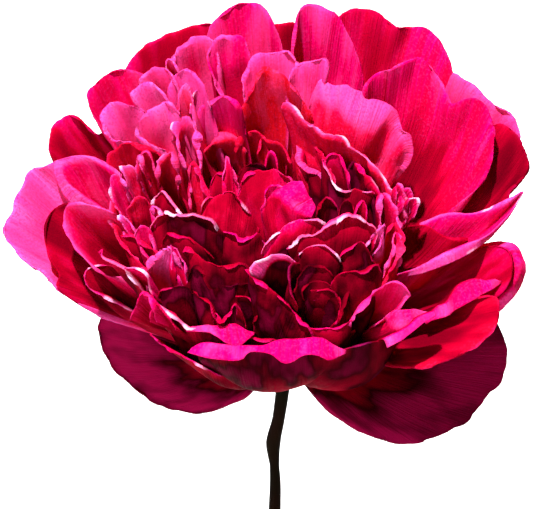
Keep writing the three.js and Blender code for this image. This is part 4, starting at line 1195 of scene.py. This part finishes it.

# Painted light and shade of single petals, of the body and of the rim. -1 is the palest painted light, 0
# plain and 1 the darkest painted shade; above 1 the painted shade turns into the dull plum of the two lowest
# petals, which lie in the bloom's shadow. Part of each value is the petal's own tone.
SHADES = dict(
    low_left=(1.45, 1.4), low_right=(1.42, 1.42), far_left=(-0.3, -1.0), left_upper=(0.55, 0.25),
    left_middle=(0.1, -0.6), left_lower=(-0.15, -0.4), left_spoon=(0.65, -0.4), back_left_round=(0.1, 0.0),
    back_left_dark=(0.45, 0.2), top_left=(0.05, -0.15), top_middle=(0.6, 0.4), top_right=(0.05, -0.15),
    back_right_wide=(0.3, 0.1), right_back=(0.0, -0.8), right_great=(0.2, -0.15), right_shaded=(0.7, 0.5),
    right_pointed=(0.1, -0.5), right_low=(0.5, -0.1), right_spoon=(0.62, 0.4), front_under_left=(0.75, 0.2),
    front_under_right=(0.95, 0.8), front_strip=(1.0, -0.05), cloud_round=(-0.35, -0.8),
    cloud_low=(0.15, -0.6), cloud_high=(-0.3, -0.7), cloud_back=(-0.3, -0.6), cloud_right=(-0.3, -0.6),
    curl_left=(-0.2, -0.9), upper_left=(-0.15, -0.5), upper_middle=(0.2, -0.3), upper_fold=(-0.2, -0.7),
    red_point=(0.0, 0.0), before_point=(0.1, -0.1), red_left=(0.1, -0.4), upper_right_round=(-0.2, -0.7),
    long_fold=(0.0, -0.3), right_flap=(0.7, -0.05), right_patch=(0.3, -0.2), right_strip=(0.7, -0.25),
    right_small_spoon=(0.25, -0.3), front_left_lip=(0.7, 0.2), left_flap=(0.5, -0.2),
    outer_fold_first=(0.4, -0.2), outer_fold_second=(0.6, 0.0), front_lip=(0.9, -0.05), long_rim=(0.2, -0.6),
    long_rim_inner=(0.6, 0.0), back_wall_left=(0.1, -0.3), back_wall_middle=(0.05, 0.2),
    back_wall_right=(0.1, -0.1), back_strip=(0.4, 0.2), inner_right_wall=(0.3, 0.0),
    inner_right_lip=(0.6, -0.4), cup_back=(0.35, 0.2), cup_front=(0.95, -0.1), dark_wall_right=(1.0, 0.9),
    pink_blade=(0.0, -0.7), pale_edge=(0.4, -0.6), right_wall_outer=(0.2, -0.1), centre_back=(0.4, 0.0),
    centre_front=(0.5, -0.1), centre_left=(0.5, 0.1), spike=(0.1, -0.5), behind_spike=(0.5, 0.3),
    dark_behind_centre=(0.9, 0.9), left_blade_high=(-0.1, -0.7), left_blade_low=(0.1, -0.2),
    white_edge=(0.6, 0.0), wide_band=(0.87, 0.05), second_band=(0.75, -0.2), third_band=(0.8, 0.45),
    ridge_band=(0.85, 0.5), cleft_fold=(1.0, 0.2), right_stripe=(0.2, -0.5), triangle=(0.5, 0.0),
    tulip=(-0.35, -0.6), tulip_blade=(0.3, -0.6), tulip_front=(1.0, 0.3), deep_blade=(1.0, 0.45),
    deep_ridge=(1.0, 0.45), deep_round=(1.0, 0.45), deep_long=(1.0, 0.45), first_arc=(0.75, -0.1),
    second_arc=(1.05, -0.05), third_arc=(0.8, 0.0), fourth_arc=(0.85, 0.2), rosette_back=(0.9, -0.5),
    rosette_front=(0.85, 0.15), rosette_left=(0.8, 0.65), rosette_right=(0.75, 0.3), rosette_ring=(0.8, 0.4),
    rosette_heart=(0.9, 0.75), rosette_low=(0.7, 0.2), wall_low=(0.5, 0.0), under_clouds=(0.25, 0.1),
    wall_first=(0.1, -0.9), wall_second=(0.1, -0.8), wall_third=(0.15, -0.6), wall_fourth=(0.15, -0.6),
    wall_fifth=(0.25, -0.3), wall_sixth=(0.1, -0.9), wall_seventh=(0.4, -0.1), wall_eighth=(0.1, -0.9),
    wall_ninth=(0.2, -0.4), wall_tenth=(0.35, -0.3), band_shadow=(0.95, 0.85), frill_first=(0.3, -0.7),
    frill_second=(0.4, -0.4), frill_third=(0.5, -0.8), front_lip_right=(1.0, 0.35), curl_middle=(-0.2, -0.9),
    hollow_left=(0.95, 0.6), hollow_middle=(0.85, 0.4), hollow_right=(0.6, 0.2), left_painted_shadow=(0.6, 0.6),
    right_painted_shadow=(0.65, 0.6), rosette_fold_back=(0.95, 0.75), rosette_fold_front=(0.9, 0.6),
    rosette_fold_right=(0.85, 0.55), right_low_shade=(0.4, 0.4),
)

# Painted highlights on the rims of single petals; those near 1 show a white line where the rim catches the
# light
RIM_HIGHLIGHTS = dict(
    left_spoon=0.8, right_pointed=0.8, front_under_left=0.7, front_left_lip=1.0, left_flap=1.0, long_rim=1.0,
    cup_front=1.0, white_edge=1.0, wide_band=1.0, first_arc=1.0, second_arc=1.0, third_arc=1.0,
    rosette_back=1.0, rosette_front=0.3, pale_edge=0.4, left_blade_high=0.7, low_left=0.0, low_right=0.0,
    wall_first=0.9, wall_second=0.8, wall_third=0.4, wall_fourth=0.6, wall_fifth=0.5, wall_sixth=0.9,
    wall_eighth=0.7, wall_tenth=0.5, centre_front=0.45, centre_left=0.65, long_rim_inner=0.6, frill_first=0.9,
    frill_second=0.4, frill_third=0.9, cup_back=0.3, dark_wall_right=0.0, pink_blade=0.6, curl_left=0.9,
    curl_middle=0.9, left_painted_shadow=0.0, right_painted_shadow=0.0, dark_behind_centre=0.0, back_wall_middle=0.0,
    ridge_band=0.0, third_band=0.1, band_shadow=0.0, rosette_fold_back=0.0, rosette_fold_front=0.0,
    rosette_fold_right=0.0, right_low_shade=0.0,
)

BLOOM_TURN = np.array(Matrix.Rotation(radians(BLOOM_LEAN), 3, "X"))

# The body that all petals spring from, as radius and height
CORE_PROFILE = ((0, -2), (8, -2), (14, 4), (19, 14), (20, 26), (14, 36), (0, 39))
# The core is given deep painted shade, as it lies in the bloom's shadow
CORE_VALUES = dict(side=0.0, tone=1.0, shade=0.9, rim_highlight=0.0, along=0.0, across=0.0, edge=20.0)


def in_bloom(points):
    """From the bloom's own frame to the frame of the whole plant."""
    return points @ BLOOM_TURN.T + BLOOM_BASE


def seen_at(x, y, height):
    """The point of the bloom that the camera sees at a pixel, at a height over the bloom's base."""
    elevation = radians(CAMERA_ELEVATION)
    look = np.array([0, cos(elevation), -sin(elevation)])
    right = np.array([1, 0, 0])
    up = np.array([0, sin(elevation), cos(elevation)])
    focus = CAMERA_LENS / SENSOR_WIDTH * PICTURE_WIDTH
    ray = look + right * (x - PICTURE_WIDTH / 2) / focus + up * (PICTURE_HEIGHT / 2 - y) / focus
    eye = (CAMERA_TARGET - look * CAMERA_DISTANCE - BLOOM_BASE) @ BLOOM_TURN
    ray = ray @ BLOOM_TURN
    return eye + (height - eye[2]) / ray[2] * ray


def curve_point(path, place):
    """A point of the smooth curve through the path, at a place from 0 to 1 along it."""
    path = np.asarray(path, float)
    path = np.concatenate([[2 * path[0] - path[1]], path, [2 * path[-1] - path[-2]]])
    spans = len(path) - 3
    near = min(int(place * spans), spans - 1)
    share = place * spans - near
    p0, p1, p2, p3 = path[near:near + 4]
    d0, d1, d2 = (
        np.maximum(np.linalg.norm(b - a, axis=-1, keepdims=True), LEAST_SPAN) ** 0.5
        for a, b in ((p0, p1), (p1, p2), (p2, p3))
    )
    start = ((p1 - p0) / d0 - (p2 - p0) / (d0 + d1) + (p2 - p1) / d1) * d1
    end = ((p2 - p1) / d1 - (p3 - p1) / (d1 + d2) + (p3 - p2) / d2) * d1
    square, cube = share**2, share**3
    return (p1 + start * share + (3 * (p2 - p1) - 2 * start - end) * square
            + (2 * (p1 - p2) + start + end) * cube)


def even_line(points, count):
    """The smooth curve through some points as evenly spaced ones, and its length."""
    fine = np.array([curve_point(points, place) for place in np.linspace(0, 1, FINE_STEPS * count)])
    run = np.concatenate([[0], np.cumsum(np.linalg.norm(np.diff(fine, axis=0), axis=1))])
    wanted = np.linspace(0, run[-1], count)
    return np.stack([np.interp(wanted, run, fine[:, k]) for k in range(3)], axis=-1), run[-1]


def ripple(place, waves, phase):
    """A wandering line of waves, given as their lengths in mm and their shares."""
    return sum(
        share * np.sin(2 * pi * place / length + phase * (1 + number) * WAVE_PHASE)
        for number, (length, share) in enumerate(waves)
    )


def smoothed(line, share):
    """The line without its small dents."""
    fits = [np.polyfit(share, line[:, k], SMOOTH_DEGREE) for k in range(3)]
    return np.stack([np.polyval(fit, share) for fit in fits], axis=-1)


def crumples(points, size, seed):
    """Sharp-ridged unevenness, about 0 to 1, with folds some mm apart."""
    random = np.random.default_rng(seed)
    directions = random.normal(size=(CRUMPLE_WAVES, 3)) / size
    phases = random.uniform(0, 2 * pi, CRUMPLE_WAVES)
    return np.abs(np.sin(points @ directions.T * pi + phases).mean(axis=-1)) * CRUMPLE_GAIN


def lip_shares(petal, sideways, share, phase):
    """How much of its full width the lip has at each place along the rim."""
    least, ends = 0, LIP_ENDS
    if petal["rim_highlight"] > HIGHLIGHTED_FROM:
        least, ends = HIGHLIGHTED_LIP_LEAST, HIGHLIGHTED_LIP_ENDS
    return np.clip(LIP_MIDDLE + ripple(sideways, LIP_WAVES, phase), least, 1) * (1 - share**ends)


def unevenness(petal, points, sideways, share, size, seed):
    """How far in mm each point of a petal is moved off its smooth surface."""
    phase = seed * GOLDEN_ANGLE
    u = np.linspace(0, 1, petal["rows"])[:, None]
    shifted = sideways + WAVE_SLANT * u
    wave = petal["wave"] * size * u**WAVE_GROWTH * ripple(shifted, petal["waves"], phase)
    furrow = petal["furrow"] * ripple(sideways, FURROW_WAVES, phase + 1) * u
    crimp = petal["crimp"] * size * ripple(sideways, CRIMP_WAVES, phase + 2)
    crimp = crimp * smoothstep(*CRIMP_PLACES, u)
    depth, width = petal["crumple"]
    crumple = depth * size * (crumples(points, width, seed) - CRUMPLE_MIDDLE)
    crumple = crumple * smoothstep(*CRUMPLE_PLACES, u) * (1 - CRUMPLE_FADE * share**2)
    return wave + furrow + crimp + crumple


def petal_values(petal, points, sideways, share, lip_share):
    """What the material has to know at each point of a petal."""
    u = np.linspace(0, 1, petal["rows"])
    grid = points.shape[:2]
    steps = np.linalg.norm(np.diff(points, axis=0), axis=2)
    run = np.concatenate([np.zeros((1, grid[1])), np.cumsum(steps, axis=0)])
    half_width = np.abs(sideways).max()
    to_side = (1 - np.abs(share)) * half_width * np.maximum(u[:, None], ROOT_EDGE)
    # Painted shading from root to rim: the root's painted shade fades into the body's, then into the rim's
    body_shade, rim_shade = petal["shades"]
    band = FOLD_BAND if "crest" in petal else petal["band"]
    inner_shade = lerp(petal["depth"], body_shade, smoothstep(*petal["dark"], u))
    shade = lerp(inner_shade, rim_shade, smoothstep(*band, u))
    return dict(
        along=run / run[-1],
        across=sideways / ACROSS_SCALE,
        edge=np.minimum(to_side, run[-1] - run),
        shade=shade[:, None],
        rim_highlight=petal["rim_highlight"] * lip_share * smoothstep(*RIM_HIGHLIGHT_PLACES, u)[:, None],
    )


def petal_surface(petal, seed):
    """Points of a petal's middle surface, with each one's values for the material."""
    phase = seed * GOLDEN_ANGLE
    rim = [seen_at(*point) for point in petal["rim"]]
    rough_length = np.linalg.norm(np.diff(rim, axis=0), axis=1).sum()
    columns = int(np.clip(rough_length / petal["spacing"], *COLUMN_LIMITS))
    rim, rim_length = even_line(rim, columns)
    top = rim
    if "crest" in petal:
        top, _ = even_line([seen_at(*point) for point in petal["crest"]], columns)
    sideways = np.linspace(-rim_length / 2, rim_length / 2, columns)
    share = sideways / (rim_length / 2)
    size = min(1, rim_length / WIDE_PETAL)
    lip_share = lip_shares(petal, sideways, share, phase)

    start = petal["root"] + unit(rim[-1] - rim[0]) * (share * petal["claw"] / 2)[:, None]
    chord = unit(top.mean(axis=0) - petal["root"])
    face = outward(petal["face"])
    back = unit(face - face.dot(chord) * chord)
    belly = back * (petal["belly"] * (1 - EDGE_FLATNESS * share**2))[:, None]
    even_top = smoothed(top, share)
    bend = lerp(start, even_top, BEND_PLACE) + belly
    shoulder = lerp(start, even_top, SHOULDER_PLACE) + SHOULDER_BELLY * belly
    notch_depth = petal["notch"] * size * (1 + ripple(sideways, NOTCH_WAVES, phase))
    notched = rim + unit(start - rim) * notch_depth[:, None]
    if "crest" in petal:
        knots = np.array([start, bend, shoulder, top, notched])
    else:
        lip = petal["lip"] * size * lip_share[:, None] * (face - [0, 0, LIP_DROP])
        knots = np.array([start, bend, shoulder, notched, notched + lip])

    points = np.array([curve_point(knots, place) for place in np.linspace(0, 1, petal["rows"])])
    normals = grid_normals(points)
    if (normals.mean(axis=(0, 1)) * back).sum() > 0:
        points, sideways, share, lip_share = points[:, ::-1], sideways[::-1], share[::-1], lip_share[::-1]
        normals = -normals[:, ::-1]
    points = points + normals * unevenness(petal, points, sideways, share, size, seed)[..., None]
    return points, petal_values(petal, points, sideways, share, lip_share)


def add_petal(shape, name, plan, style, seed):
    """One petal, made by its plan, its painted light and shade and, for the rest, the style of its group."""
    petal = {**style, **plan, "shades": SHADES[name], "rim_highlight": RIM_HIGHLIGHTS.get(name, style["rim_highlight"])}
    if "root" in plan:
        petal["root"] = np.array(plan["root"])
    else:
        radius, height = style["root_ring"]
        petal["root"] = outward(plan["face"]) * radius + [0, 0, height]
    points, values = petal_surface(petal, seed)
    thickness = lerp(RIM_THICKNESS, PETAL_THICKNESS, smoothstep(0, THIN_RIM, values["edge"]))
    tone = plan.get("tone", (seed * GOLDEN_SHARE) % 1)
    shape.add_sheet(in_bloom(points), thickness, tone=tone, **values)


def bloom():
    """All petals, group by group and some to a piece, and the core that they spring from."""
    material = petal_material()
    seed = 0
    for name, plans, style in (
        ("guard_petals", GUARD_PETALS, GUARD_STYLE),
        ("middle_petals", MIDDLE_PETALS, MIDDLE_STYLE),
        ("crown_petals", CROWN_PETALS, CROWN_STYLE),
    ):
        for part, start in enumerate(range(0, len(plans), PETALS_IN_A_PIECE)):
            shape = Shape()
            for petal, plan in list(plans.items())[start:start + PETALS_IN_A_PIECE]:
                add_petal(shape, petal, plan, style, seed)
                seed += 1
            shape.piece(f"{name}_{part + 1}", material, "petal", "bloom")
    shape = Shape()
    vertices, faces = lathe(CORE_PROFILE, CORE_SIDES)
    shape.add(in_bloom(vertices), faces, **CORE_VALUES)
    shape.piece("bloom_core", material, "petal", "bloom")


# Leaves and stems
# A stem runs through the points of its path. A leaf grows at a share of that path, and its stalk and size are
# in mm.

LEAVES_OF = {
    "flower_stem": dict(
        path=[(0, 0, 152), (1, 3, 225), (-1, 5, 310), (2.3, 7.5, 399), (2.0, 7.2, 408), (1.6, 6.5, 417),
              (3.3, 5, 427), (4.8, 3.4, 441), (5.2, 1.1, 450)],
        radii=[3.6, 3.4, 3, 1.9, 1.6, 2.5, 2.1, 2.3, 2.9],
        leaves=[
            dict(at=0.105, heading=165, stalk=70, size=66, leaflets=9),
            dict(at=0.15, heading=28, stalk=66, size=66, leaflets=9),
            dict(at=0.2025, heading=-105, stalk=56, size=62, leaflets=5),
            dict(at=0.2475, heading=100, stalk=46, size=58, leaflets=3),
        ],
    ),
    "left_shoot": dict(
        path=[(-36, 12, 152), (-40, 13, 180), (-54, 17, 220), (-72, 22, 252)],
        radii=[3, 2.8, 2.4, 1.8],
        leaves=[
            dict(at=0.3, heading=-150, stalk=50, size=60, leaflets=9),
            dict(at=0.5, heading=-50, stalk=50, size=62, leaflets=5),
            dict(at=0.97, heading=-100, stalk=36, size=58, leaflets=5),
        ],
    ),
    "right_shoot": dict(
        path=[(36, -8, 152), (42, -10, 178), (58, -13, 214), (76, -17, 244)],
        radii=[3, 2.8, 2.4, 1.8],
        leaves=[
            dict(at=0.3, heading=35, stalk=50, size=60, leaflets=9),
            dict(at=0.5, heading=135, stalk=50, size=62, leaflets=5),
            dict(at=0.97, heading=84, stalk=36, size=58, leaflets=5),
        ],
    ),
}


def stalk_points(root, heading, length, first_slope, last_slope, steps):
    """Points along a stalk whose slope changes evenly from the first to the last."""
    points = [root]
    for k in range(steps):
        slope = radians(lerp(first_slope, last_slope, (k + 0.5) / steps))
        points.append(points[-1] + length / steps * (outward(heading) * cos(slope) + [0, 0, sin(slope)]))
    return np.array(points)


def grid_shares(grid):
    """The shares of each point of a grid: from 0 to 1 along it, and from -1 to 1 across it."""
    rows, columns = grid
    return np.meshgrid(np.linspace(0, 1, rows), np.linspace(-1, 1, columns), indexing="ij")


def standing_grid(root, heading, out, side, up):
    """Points of a grid by how far they lie outward, sideways and up from a root."""
    points = root + out[..., None] * outward(heading) + side[..., None] * across(heading)
    return points + up[..., None] * [0, 0, 1]


def add_leaflet(shape, root, heading, length, width, slope, roll, seed):
    """One leaflet: an arched rib, halves that rise from it, sunken side veins and a slightly waved rim."""
    u, t = grid_shares(LEAFLET_GRID)
    here = np.radians(slope - LEAFLET_ARCH * u)
    mean = np.radians(slope - LEAFLET_ARCH * u / 2)
    outline = np.maximum(0, np.sin(pi * u)) ** LEAFLET_TAPER
    half = width / 2 * lerp(LEAFLET_ROOT, 1, outline)
    rise = np.radians(LEAFLET_FOLD + roll * np.sign(t))
    rib = np.exp(-((np.abs(t) * half / RIB_WIDTH) ** 2))
    vein_phase = (u * SIDE_VEINS - np.abs(t) * VEIN_SLANT) * 2 * pi
    vein = np.maximum(0, np.cos(vein_phase)) ** VEIN_SHARPNESS * (np.abs(t) < VEIN_END)
    wave = LEAFLET_WAVE * np.sin(LEAFLET_WAVES * pi * u + seed + LEAFLET_WAVE_SHIFT * np.sign(t)) * t**2
    lift = half * np.abs(t) * np.sin(rise) + wave - RIB_DEPTH * rib - VEIN_DEPTH * vein
    side = t * half * np.cos(rise)
    out = length * u * np.cos(mean) - np.sin(here) * lift
    up = length * u * np.sin(mean) + np.cos(here) * lift
    edge = np.minimum((1 - np.abs(t)) * half, (1 - u) * length)
    thickness = lerp(LEAF_RIM_THICKNESS, LEAF_THICKNESS, smoothstep(0, LEAF_THIN_RIM, edge))
    points = standing_grid(root, heading, out, side, up)
    shape.add_sheet(points, thickness, vein=np.maximum(rib, VEIN_PALENESS * vein), edge=edge)


def compound_leaf(stalks, blades, path, at, heading, stalk, size, leaflets):
    """A stalk with three twigs. Nine leaflets stand in threes; of five, three stand on the middle twig."""
    root = curve_point(path, at)
    flat = LEAF_SLOPE - LEAF_DROP
    main = stalk_points(root, heading, stalk, LEAF_SLOPE, flat, STALK_STEPS)
    coarse = stalk_points(root, heading, stalk, LEAF_SLOPE, flat, len(STALK_RADII) - 1)
    fork = main[-1]
    lower_fork = lerp(fork, coarse[-2], SIDE_SETBACK)
    places = np.linspace(0, len(STALK_RADII) - 1, len(main))
    stalks.add(*tube(main, np.interp(places, range(len(STALK_RADII)), STALK_RADII), STALK_SIDES))
    for branch in (0, -1, 1):
        direction = heading + BRANCH_SPREAD * branch
        start = lerp(fork, lower_fork, 0.5) if branch == 0 else lower_fork
        reach = size * (MIDDLE if branch == 0 else SIDE)["reach"]
        slopes = [flat - drop for drop in TWIG_DROPS]
        twig = stalk_points(start, direction, reach, *slopes, TWIG_STEPS)
        stalks.add(*tube(twig, np.linspace(*TWIG_RADII, len(twig)), TWIG_SIDES))
        threefold = leaflets == 9 or (leaflets == 5 and branch == 0)
        for part in (0, -1, 1) if threefold else (0,):
            share = MIDDLE if part == 0 else SIDE
            add_leaflet(
                blades,
                root=lerp(twig[-1], start, TIP_SETBACK if part == 0 else SIDE_SETBACK),
                heading=direction + LEAFLET_SPREAD * part,
                length=size * share["length"],
                width=size * share["width"],
                slope=flat - LEAFLET_DROP,
                roll=LEAFLET_ROLL * (part + branch),
                seed=blades.count % LEAFLET_SEEDS,
            )


def calyx(stalks, blades):
    """The cup that the bloom stands on, with its sepals."""
    vertices, faces = lathe(CUP_PROFILE, CUP_SIDES)
    stalks.add(in_bloom(vertices), faces)
    u, t = grid_shares(SEPAL_GRID)
    start_out, start_up = SEPAL_START
    slope = radians(SEPAL_SLOPE)
    half = SEPAL_WIDTH / 2 * lerp(SEPAL_ROOT, 1, np.sin(pi * u) ** SEPAL_TAPER)
    out = start_out + SEPAL_LENGTH * u * cos(slope)
    up = start_up + SEPAL_LENGTH * u * sin(slope) + SEPAL_HOLLOW * t**2 * half
    for k in range(SEPALS):
        points = standing_grid(np.zeros(3), SEPAL_TURN + 360 / SEPALS * k, out, t * half, up)
        blades.add_sheet(in_bloom(points), SEPAL_THICKNESS, edge=(1 - np.abs(t)) * half, vein=0.0)


def leafy_stems():
    """The flower stem and both side shoots, each with a piece of stalks and a piece of leaflets."""
    leaf = leaf_material()
    stem = stem_material()
    for name, plan in LEAVES_OF.items():
        stalks = Shape()
        blades = Shape()
        places = np.linspace(0, 1, STEM_POINTS)
        line = [curve_point(plan["path"], place) for place in places]
        foot = np.array([line[0][0], line[0][1], STEM_FOOT])
        radii = np.interp(places * (len(plan["radii"]) - 1), range(len(plan["radii"])), plan["radii"])
        stalks.add(*tube([foot, *line], [radii[0], *radii], STEM_SIDES))
        for leaf_plan in plan["leaves"]:
            compound_leaf(stalks, blades, plan["path"], **leaf_plan)
        if name == "flower_stem":
            calyx(stalks, blades)
        stalks.piece(name + "_stalks", stem, "leaf", name)
        blades.piece(name + "_leaflets", leaf, "leaf", name)


# Pot and soil


def arc_corner(before, corner, after, radius):
    """Points that round a profile's corner."""
    before, corner, after = (np.array(point, float) for point in (before, corner, after))
    start = corner + unit(before - corner) * radius
    end = corner + unit(after - corner) * radius
    shares = np.linspace(0, 1, CORNER_POINTS)[:, None]
    return lerp(lerp(start, corner, shares), lerp(corner, end, shares), shares)


def pot_inner():
    """Radius and height of the inner wall's corners, from the floor up."""
    return (
        (POT_FOOT_RADIUS - POT_WALL, POT_FLOOR),
        (POT_BODY_TOP_RADIUS - POT_WALL, POT_SHOULDER),
        (POT_RIM_RADIUS - POT_WALL - POT_EDGE, POT_HEIGHT),
    )


def pot_profile():
    """The rounded outline of the pot, from the middle of its underside to the middle of its floor."""
    corners = [
        (0, 0),
        (POT_FOOT_RADIUS, 0),
        (POT_BODY_TOP_RADIUS, POT_SHOULDER),
        (POT_RIM_RADIUS - POT_EDGE, POT_SHOULDER),
        (POT_RIM_RADIUS, POT_HEIGHT),
        *reversed(pot_inner()),
        (0, POT_FLOOR),
    ]
    profile = [np.array([corners[0]], float)]
    for before, corner, after in zip(corners, corners[1:], corners[2:]):
        profile.append(arc_corner(before, corner, after, 2 * POT_EDGE))
    profile.append(np.array([corners[-1]], float))
    return np.concatenate(profile)


def drain_hole(pot_body, x, y):
    bpy.ops.mesh.primitive_cylinder_add(
        radius=DRAIN_HOLE_RADIUS * MM, depth=4 * POT_FLOOR * MM, vertices=DRAIN_HOLE_SIDES,
        location=(x, y, 0),
    )
    cutter = bpy.context.object
    hole = pot_body.modifiers.new("hole", "BOOLEAN")
    hole.operation = "DIFFERENCE"
    hole.solver = "EXACT"
    hole.object = cutter
    bpy.context.view_layer.objects.active = pot_body
    bpy.ops.object.modifier_apply(modifier=hole.name)
    bpy.data.objects.remove(cutter)


def pot():
    shape = Shape()
    shape.add(*lathe(pot_profile(), POT_SIDES))
    made = shape.piece("clay_pot", clay_material(), "clay", "pot")
    for k in range(DRAIN_HOLES):
        x, y, _ = outward(DRAIN_HOLE_TURN + 360 / DRAIN_HOLES * k) * DRAIN_HOLE_CIRCLE * MM
        drain_hole(made, x, y)
    made.data.shade_smooth()
    made.data.set_sharp_from_angle(angle=radians(POT_SHARP_ANGLE))


def soil_height(x, y):
    """The height of the soil's uneven top: broad swells and small lumps."""
    swell = np.sin(0.13 * x + 0.7) * np.cos(0.17 * y) + 0.6 * np.sin(0.31 * x - 0.27 * y)
    lumps = 0.8 * np.sin(0.9 * x + 1.3 * np.sin(0.4 * y)) * np.cos(0.8 * y + 1.1 * np.sin(0.5 * x))
    return SOIL_TOP + SOIL_SWELL * swell + SOIL_UNEVENNESS * lumps


def soil_radius(z):
    """The radius of the soil at a height, just inside the pot's wall."""
    inner = pot_inner()
    return np.interp(z, [point[1] for point in inner], [point[0] for point in inner]) - GAP


def soil():
    material = earth_material()
    edge = SOIL_TOP - SOIL_WALL_DROP
    bottom = POT_FLOOR + GAP
    profile = [(0, bottom)] + [(soil_radius(z), z) for z in (bottom, POT_SHOULDER, edge)]
    profile += [(soil_radius(edge) * share, SOIL_TOP) for share in np.linspace(SOIL_EDGE, 0, SOIL_RINGS)]
    vertices, faces = lathe(profile, SOIL_SIDES)
    top = vertices[:, 2] > (edge + SOIL_TOP) / 2
    vertices[top, 2] = soil_height(vertices[top, 0], vertices[top, 1])
    shape = Shape()
    shape.add(vertices, faces)
    shape.piece("soil_bed", material, "earth", "soil")
    crumbs(material)


def crumb(random, centre, size):
    """A small angular lump: three uneven rings with flat ends, squashed and turned at random."""
    turn = circle(CRUMB_SIDES)
    rings = []
    for height, radius in CRUMB_RINGS:
        spread = radius * random.uniform(*CRUMB_SPREAD, CRUMB_SIDES)
        level = np.full(CRUMB_SIDES, height)
        rings.append(np.stack([spread * np.cos(turn), spread * np.sin(turn), level], axis=-1))
    points = np.concatenate(rings) * size * random.uniform(*CRUMB_SQUASH, 3)
    turn_by = Matrix.Rotation(random.uniform(0, 2 * pi), 3, Vector(random.normal(size=3)).normalized())
    return points @ np.array(turn_by).T + centre, closed_rings(len(CRUMB_RINGS), CRUMB_SIDES)


def crumbs(material):
    """Crumbs strewn over the soil, clear of the pot's wall and of the stems."""
    random = np.random.default_rng(CRUMB_SEED)
    stems = [plan["path"][0][:2] for plan in LEAVES_OF.values()]
    least, more = CRUMB_SIZES
    shape = Shape()
    for _ in range(CRUMBS):
        reach = (soil_radius(SOIL_TOP) - CLEAR_OF_WALL) * random.uniform() ** 0.5  # even over the disc
        turn = random.uniform(0, 2 * pi)
        x, y = reach * cos(turn), reach * sin(turn)
        if min(np.hypot(x - stem_x, y - stem_y) for stem_x, stem_y in stems) < CLEAR_OF_STEM:
            continue
        size = least + more * random.uniform() ** 4  # most of them small
        centre = np.array([x, y, soil_height(x, y) + CRUMB_RAISE * size])
        shape.add(*crumb(random, centre, size))
    shape.piece("soil_crumbs", material, "earth", "soil", smooth=False)


# Stage


def floor():
    bpy.ops.mesh.primitive_plane_add(size=FLOOR_SIZE, location=FLOOR_PLACE)
    plane = bpy.context.object
    plane.name = "floor"
    material, tree, shader = new_material("floor")
    fill(tree, shader, {"Base Color": FLOOR_COLOUR, "Roughness": 0.9})
    plane.data.materials.append(material)


def lamp(name, place, target, size, power, spread=180):
    light = bpy.data.lights.new(name, "AREA")
    light.shape = "DISK"
    light.size = size
    light.spread = radians(spread)
    light.energy = power
    made = bpy.data.objects.new(name, light)
    made.location = place
    made.rotation_euler = (Vector(target) - Vector(place)).to_track_quat("-Z", "Y").to_euler()
    bpy.context.scene.collection.objects.link(made)


def lights():
    lamp("key", place=(-0.3, -0.45, 2.15), target=LIT_PLACE, size=0.08, power=100)
    lamp("fill", place=(-0.9, -1.3, 1.1), target=LIT_PLACE, size=1.0, power=14)
    lamp("floor_lamp", place=(0, 1.25, 1.3), target=(0, 1.25, 0), size=1.2, power=12, spread=80)
    world = bpy.data.worlds.new("studio")
    world.use_nodes = True
    background = world.node_tree.nodes["Background"]
    fill(world.node_tree, background, {"Color": WORLD_COLOUR, "Strength": WORLD_LIGHT})
    bpy.context.scene.world = world
    bpy.context.scene.view_settings.view_transform = "Standard"


def camera():
    elevation = radians(CAMERA_ELEVATION)
    looking = Vector((0, cos(elevation), -sin(elevation)))
    data = bpy.data.cameras.new("camera")
    data.sensor_width = SENSOR_WIDTH
    data.lens = CAMERA_LENS
    made = bpy.data.objects.new("camera", data)
    made.location = (Vector(CAMERA_TARGET) - looking * CAMERA_DISTANCE) * MM
    made.rotation_euler = looking.to_track_quat("-Z", "Y").to_euler()
    bpy.context.scene.collection.objects.link(made)
    bpy.context.scene.camera = made


camera()
lights()
floor()
bloom()
leafy_stems()
pot()
soil()
